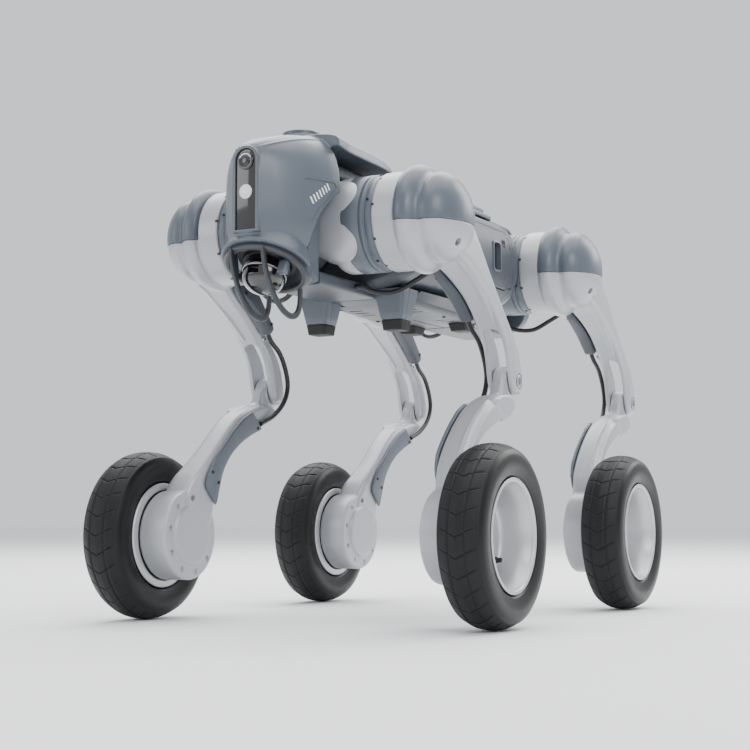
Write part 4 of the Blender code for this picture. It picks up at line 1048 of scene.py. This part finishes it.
def make_lidar():
    ring = [(0.0362, 0.0003), (0.0418, 0.0003), (0.0422, 0.0008), (0.0423, 0.0046), (0.0418, 0.0052),
            (0.0374, 0.0062),
            (0.0366, 0.0058), (0.0362, 0.0050)]
    guard = revolve("guard", ring, COLLAR, DOWN, 128)
    for side in (1, -1):
        combine(guard, flat_tube("hoop", hoop_points(side * 0.018), 0.0016, 0.0030), "UNION")
    on_trunk(guard, "lidar_guard_v", "guard", "lidar_guard")
    base = [(0, -0.030), (0.0300, -0.030), (0.0304, -0.0290), (0.0304, -0.0060), (0.0296, -0.0040), (0.0250,
            -0.0036),
            (0.0240, -0.0005), (0.0236, 0.0), (0.0, 0.0)]
    on_trunk(revolve("base", base, COLLAR, DOWN, 96), "lidar_base_v", "dark", "lidar_base")
    rotor = [(0.0190, 0.0004), (0.0212, 0.0020), (0.0216, 0.0040), (0.0216, 0.0066), (0.0209, 0.0070),
             (0.0209, 0.0078),
             (0.0216, 0.0082), (0.0215, 0.0125), (0.0207, 0.0165), (0.0195, 0.0200), (0.0170,
                     0.0238), (0.0140, 0.0260),
             (0.0100, 0.0278), (0.0060, 0.0287), (0, 0.0290)]
    body = revolve("rotor", [(0, 0.0004), *rotor], COLLAR, DOWN, 112)
    window = block("slot", (-0.0050, -0.0062, -0.0058), (0.0050, 0.0062, 0.0058))
    bevelled(window, 0.0010, 3)
    window.data.transform(Matrix.Translation(COLLAR + DOWN * 0.014) @ Matrix.Rotation(-TILT, 4, "Y")
                          @ Matrix.Translation((0.0230, 0, 0)))
    cut(body, window)
    on_trunk(body, "lidar_rotor_v", "gloss_black", "lidar_rotor", body="lidar_rotor_body")
    band = [(0.0217, 0.0092), (0.0221, 0.0094), (0.0221, 0.0106), (0.0217, 0.0108), (0.0208, 0.0108),
            (0.0208, 0.0092)]
    on_trunk(revolve("band", band, COLLAR, DOWN, 112), "rotor_band", "alloy", body="lidar_rotor_body")
    arm = block("arm", (-0.0035, -0.0045, -0.0075), (0.0035, 0.0045, 0.0060))
    bevelled(arm, 0.0009, 3)
    arm.data.transform(Matrix.Translation(COLLAR + DOWN * 0.0075 + Vector((0.012, 0.0285, 0.002)))
                       @ Matrix.Rotation(-TILT, 4, "Y"))
    post = block("post", (-0.0020, -0.0025, 0.0), (0.0020, 0.0025, 0.012))
    post.data.transform(Matrix.Translation(COLLAR + Vector((0.012, 0.0285,
            -0.004))) @ Matrix.Rotation(-TILT, 4, "Y"))
    on_trunk(gather("arm", [arm, post]), "lidar_arm", "shell")


# ---------------------------------------------------------------- trunk
TRUNK_END, TRUNK_W, TRUNK_H, TRUNK_MID_Z = 0.1385, 0.0945, 0.0575, 0.4055
BATTERY_LOW, BATTERY_HIGH = Vector((-0.104, -0.055, 0.372)), Vector((0.044, 0.12, 0.440))
SOCKET_X, BUTTON_X = -0.064, -0.086


def trunk(name, count=144):
    ends = spline([(-TRUNK_END, 0.90), (-0.133, 0.965), (-0.122, 1.0)], 5)
    ends = ends + [(-x, s) for x, s in reversed(ends)]
    return loft(name, [[(x, a, TRUNK_MID_Z + b) for a, b in squircle(TRUNK_W * s, TRUNK_H * s, 3.0, count)]
                       for x, s in ends])


def soft_box(name, low, high, radius):
    half = [(b - a) / 2 for a, b in zip(low, high)]
    mid = [(b + a) / 2 for a, b in zip(low, high)]
    return loft(name, [[(x, mid[1] + a, mid[2] + b) for a, b in round_rect(half[1], half[2], radius, 6)]
                       for x in (low[0], high[0])])


def make_chassis():
    body = trunk("chassis")
    cut(body, block("seat", (-0.131, -0.066, 0.4600), (0.090, 0.066, 0.480)))
    cut(body, block("seat", (-0.145, -0.070, 0.330), (0.145, 0.070, 0.3495)))
    for low, high in (((0.120, -BEAM_W, 0.4540), (0.262, BEAM_W, 0.4700)), ((0.120, -0.034, 0.3380), (0.240,
            0.034, 0.3515)),
                      ((-0.255, -BEAM_W, 0.4540), (-0.130, BEAM_W, 0.4630)),
                      ((-0.255, -0.034, 0.3340), (-0.120, 0.034, 0.3515))):
        combine(body, soft_box("beam", low, high, 0.004), "UNION")
    for end in (1, -1):
        for side in (1, -1):
            face, back = end * (HIP_X - 0.0498), end * 0.115
            length = abs(face - back)
            profile = [(0, 0), (0.030, 0), (0.030, length - 0.0008), (0.0292, length), (0, length)]
            combine(body, revolve("flange", profile, (back, side * ABDUCT_Y, HIP_Z), (end, 0, 0), 72),
                    "UNION")
    cut(body, block("bay", BATTERY_LOW - Vector((GAP, GAP, GAP)), BATTERY_HIGH + Vector((GAP, GAP, GAP))))
    recast(body, 0.0011, 3, 0.5)
    slots = []
    for x in (-0.118, 0.062, 0.098):
        for side in (1, -1):
            slots.append(bevelled(block("slot", (x, side * 0.094 - 0.006, 0.3730), (x + 0.012,
                    side * 0.094 + 0.006, 0.3765)),
                                  0.0012, 3))
    # seams round the trunk
    for x in (0.0540, -0.1120):
        seam = trunk("seam")
        core = trunk("core")
        core.data.transform(Matrix.Translation((0, 0, TRUNK_MID_Z)) @ Matrix.Diagonal((1.2, 0.9925, 0.987,
                1))
                            @ Matrix.Translation((0, 0, -TRUNK_MID_Z)))
        cut(seam, core)
        grow = block("keep", (x - 0.00035, -0.2, 0.30), (x + 0.00035, 0.2, 0.4595))
        combine(grow, seam, "INTERSECT")
        slots.append(grow)
    for piece in slots:
        cut(body, piece)
    on_trunk(body, "chassis_v", "body", "chassis")


def make_battery():
    body = trunk("battery")
    combine(body, block("box", BATTERY_LOW, BATTERY_HIGH), "INTERSECT")
    recast(body, 0.0010, 3, 0.5)
    cut(body, bevelled(block("socket", (SOCKET_X - 0.0095, 0.080, 0.3900), (SOCKET_X + 0.0095, 0.12,
            0.4220)), 0.0040, 5))
    cut(body, revolve("well", [(0, 0), (0.0051, 0), (0.0051, 0.03), (0, 0.03)], (BUTTON_X, 0.0875, 0.424),
                      (0, 1, 0), 64))
    for z in (0.3800, 0.4330):
        cut(body, bevelled(block("line", (-0.098, 0.0925, z - 0.0004), (0.038, 0.12, z + 0.0004)), 0.0002,
                           1))
    on_trunk(body, "battery_v", "body", "battery", body="battery_body")
    rim_rings = []
    for y, g in ((0.0900, 0.0), (0.0952, 0.0), (0.0956, -0.0004)):
        rim_rings.append([(SOCKET_X + a, y, 0.4060 + b) for a, b in round_rect(0.0113 + g, 0.0178 + g,
                0.0052, 8)])
    frame_piece = loft("socket_frame", rim_rings)
    inner = [[(SOCKET_X + a, y, 0.4060 + b) for a, b in round_rect(0.0093, 0.0158, 0.0040,
            8)] for y in (0.08, 0.10)]
    cut(frame_piece, loft("inner", inner))
    on_trunk(frame_piece, "socket_frame", "shell", body="battery_body")
    pins = []
    for a, b in ((-0.003, 0.008), (0.003, 0.008), (-0.003, 0.0), (0.003, 0.0), (-0.003, -0.008), (0.003,
            -0.008)):
        pins.append(revolve("pin", [(0, 0), (0.0013, 0), (0.0013, 0.0032), (0.0009, 0.0036), (0, 0.0036)],
                            (SOCKET_X + a, 0.0795, 0.406 + b), (0, 1, 0), 20))
    on_trunk(gather("pins", pins), "socket_pins", "steel", body="battery_body")
    button = [(0.0048, 0.0014), (0.0048, 0.0052), (0.0044, 0.0061), (0.0036, 0.0066), (0.0024, 0.0062)]
    on_trunk(revolve("button", [(0, 0.0014), *spline(button, 4), (0, 0.0060)], (BUTTON_X, 0.0875, 0.424),
                     (0, 1, 0), 64),
             "power_button_v", "dark", "power_button", body="button_body")
    dots = [revolve("dot", [(0, 0), (0.0009, 0), (0.0009, 0.0004), (0.0006, 0.0006), (0, 0.0006)],
                    (BUTTON_X + 0.0022 * (k - 1.5), 0.0938, 0.4130), (0, 1, 0), 20) for k in range(4)]
    on_trunk(gather("dots", dots), "level_dots", "mark", body="battery_body")


def make_deck():
    plate = loft("deck", [[(-0.021 + a, b, z) for a, b in round_rect(0.107 - g, 0.063 - g, 0.010, 10)]
                          for z, g in ((0.4603, 0.0), (0.4650, 0.0), (0.4655, 0.0005))])
    for side in (1, -1):
        y = side * 0.043
        rail = loft("rail", [[(x, y + a * s, 0.4684 + b * s) for a, b in round_rect(0.010, 0.0076, 0.004,
                8)]
                             for x, s in ((-0.122, 0.95), (-0.1212, 1.0), (0.0692, 1.0), (0.070, 0.95))])
        combine(plate, rail, "UNION")
        cut(plate, block("slot", (-0.13, y - 0.0025, 0.4700), (0.08, y + 0.0025, 0.480)))
        cut(plate, block("slot", (-0.13, y - 0.0045, 0.4695), (0.08, y + 0.0045, 0.4730)))
    on_trunk(bevelled(plate, 0.0004, 2, 40), "deck_plate_v", "shell", "deck_plate")
    heads = [screw_head((x, side * y, 0.4655), (0, 0, 1), 0.0026, 0.0011) for x in (-0.112, -0.05, 0.012,
            0.072)
             for y in (0.018, 0.0575) for side in (1, -1)]
    on_trunk(gather("heads", heads), "deck_screws", "black_screw")


def make_belly():
    def ring(x, top_w, low_w, low_z):
        out = [(x, -top_w, 0.3492)]
        for side in (-1, 1):
            pts = [(x, side * (low_w - 0.008 + 0.008 * math.sin(t)), low_z + 0.006 - 0.006 * math.cos(t))
                   for t in (math.pi / 2 * k / 6 for k in range(7))]
            out += list(reversed(pts)) if side < 0 else pts
        return out + [(x, top_w, 0.3492)]
    rows = [(-0.128, 0.052, 0.046, 0.3380), (-0.125, 0.062, 0.051, 0.3355), (-0.120, 0.066, 0.052, 0.3345),
            (-0.050, 0.068, 0.054, 0.3345), (0.020, 0.068, 0.052, 0.3360), (0.105, 0.066, 0.050, 0.3395),
            (0.1080, 0.064, 0.048, 0.3400), (0.1090, 0.062, 0.047, 0.3405)]
    pan = loft("belly", [ring(*row) for row in rows])
    for side in (1, -1):
        y0, y1 = sorted((side * 0.0265, side * 0.10))
        cut(pan, block("gap", (0.0775, y0, 0.300), (0.150, y1, 0.3600)))
    cut(pan, block("gap", (-0.150, -0.0343, 0.3290), (-0.1195, 0.0343, 0.36)))
    bevelled(pan, 0.0008, 3, 40)
    cut(pan, block("keel", (-0.20, -0.0010, 0.300), (0.20, 0.0010, 0.3350)))
    for x in (-0.085, -0.070, -0.055, 0.015, 0.030, 0.045):
        for side in (1, -1):
            cut(pan, bevelled(block("slot", (x, side * 0.030 - 0.0085, 0.32), (x + 0.0040,
                    side * 0.030 + 0.0085, 0.3400)),
                              0.0016, 3))
    cut(pan, block("seam", (-0.0204, -0.1, 0.32), (-0.0196, 0.1, 0.3352)))
    on_trunk(pan, "belly_pan_v", "body", "belly_pan")
    places = ((-0.112, 0.3346), (-0.030, 0.3347), (0.060, 0.3377))
    heads = [screw_head((x, side * 0.0425, z), (0, 0, -1), 0.0024, 0.0008) for x, z in places for side in (1, -1)]
    on_trunk(gather("heads", heads), "belly_screws", "black_screw")


def taper(name, at, top, low, z_top, z_low, radius=0.0035):
    rings = []
    for k in range(5):
        t = k / 4
        half = [a + (b - a) * t for a, b in zip(low, top)]
        rings.append([(at[0] + a, at[1] + b, z_low + (z_top - z_low) * t) for a, b in round_rect(*half,
                radius, 7)])
    return bevelled(loft(name, rings), 0.0005, 2, 50)


def make_feet():
    for side, word in ((1, "left"), (-1, "right")):
        at = (0.0980, side * 0.0460)
        foot = taper("foot", at, (0.0195, 0.0185), (0.0135, 0.0125), 0.3492, 0.3165)
        groove_cut = block("line", (at[0] + 0.0030, at[1] - 0.03, 0.31), (at[0] + 0.0036, at[1] + 0.03,
                0.3495))
        inner = taper("inner", at, (0.0189, 0.0179), (0.0129, 0.0119), 0.3500, 0.3160)
        cut(groove_cut, inner)
        cut(foot, groove_cut)
        on_trunk(foot, f"front_foot_v_{word}", "shell", f"front_foot_{word}")
        on_trunk(taper("tip", at, (0.0133, 0.0123), (0.0118, 0.0108), 0.3162, 0.3055),
                 f"front_tip_v_{word}", "rubber",
                 f"front_tip_{word}")
        on_trunk(taper("rear", (-0.1000, side * 0.0330), (0.0165, 0.0115), (0.0130, 0.0095), 0.3342,
                       0.3255),
                 f"rear_tip_v_{word}", "rubber", f"rear_tip_{word}")


def make_tail():
    rings = []
    for x, w, z0, z1 in spline(((-0.2425, 0.058, 0.338, 0.460), (-0.255, 0.058, 0.338, 0.460),
                                (-0.268, 0.053, 0.344, 0.454), (-0.2745, 0.044, 0.352, 0.444)), 5):
        rings.append([(x, a, (z0 + z1) / 2 + b) for a, b in squircle(w, (z1 - z0) / 2, 4.0, 96)])
    shell = loft("tail", rings)
    outline = ((1, 0.0292, 0.4535), (1, 0.0440, 0.4676), (1, 0.0400, 0.4712), (-1, 0.0400, 0.4712),
               (-1, 0.0440, 0.4676), (-1, 0.0292, 0.4535))
    top = loft("top", [[(x, side * (y - narrow), 0.4535 + (z - 0.4535) * rise) for side, y, z in outline]
                       for x, narrow, rise in ((-0.1390, 0.0, 1.0), (-0.225, 0.001, 0.97), (-0.262, 0.004,
                               0.30))])
    combine(shell, top, "UNION")
    gap = BEAM_W + GAP
    cut(shell, block("gap", (-0.2553, -gap, 0.4400), (-0.10, gap, 0.4633)))
    cut(shell, block("gap", (-0.2553, -0.0343, 0.3297), (-0.10, 0.0343, 0.3518)))
    recast(shell, 0.0010, 3, 0.5)
    for z in (0.385, 0.405, 0.425):
        cut(shell, bevelled(block("vent", (-0.30, -0.026, z - 0.0015), (-0.271, 0.026, z + 0.0015)), 0.0009,
                            3))
    on_trunk(shell, "tail_cover_v", "shell", "tail_cover")
    heads = [screw_head((-0.2722, side * 0.034, z), (-1, 0, 0), 0.0024, 0.0009) for z in (0.364,
            0.434) for side in (1, -1)]
    on_trunk(gather("heads", heads), "tail_screws", "black_screw")


make_camera()
make_studio()
for name, obj in frame["nodes"].items():
    slot = next(s["material_slot"] for s in frame["record"]["subparts"] if s["node"] == name)
    obj.data.materials.clear()
    obj.data.materials.append(MATS[slot])
make_wheels()
make_thigh()
make_cap()
make_covers()
make_calf()
make_hips()
make_cables()
make_head()
make_face()
make_lidar()
make_chassis()
make_battery()
make_deck()
make_belly()
make_feet()
make_tail()
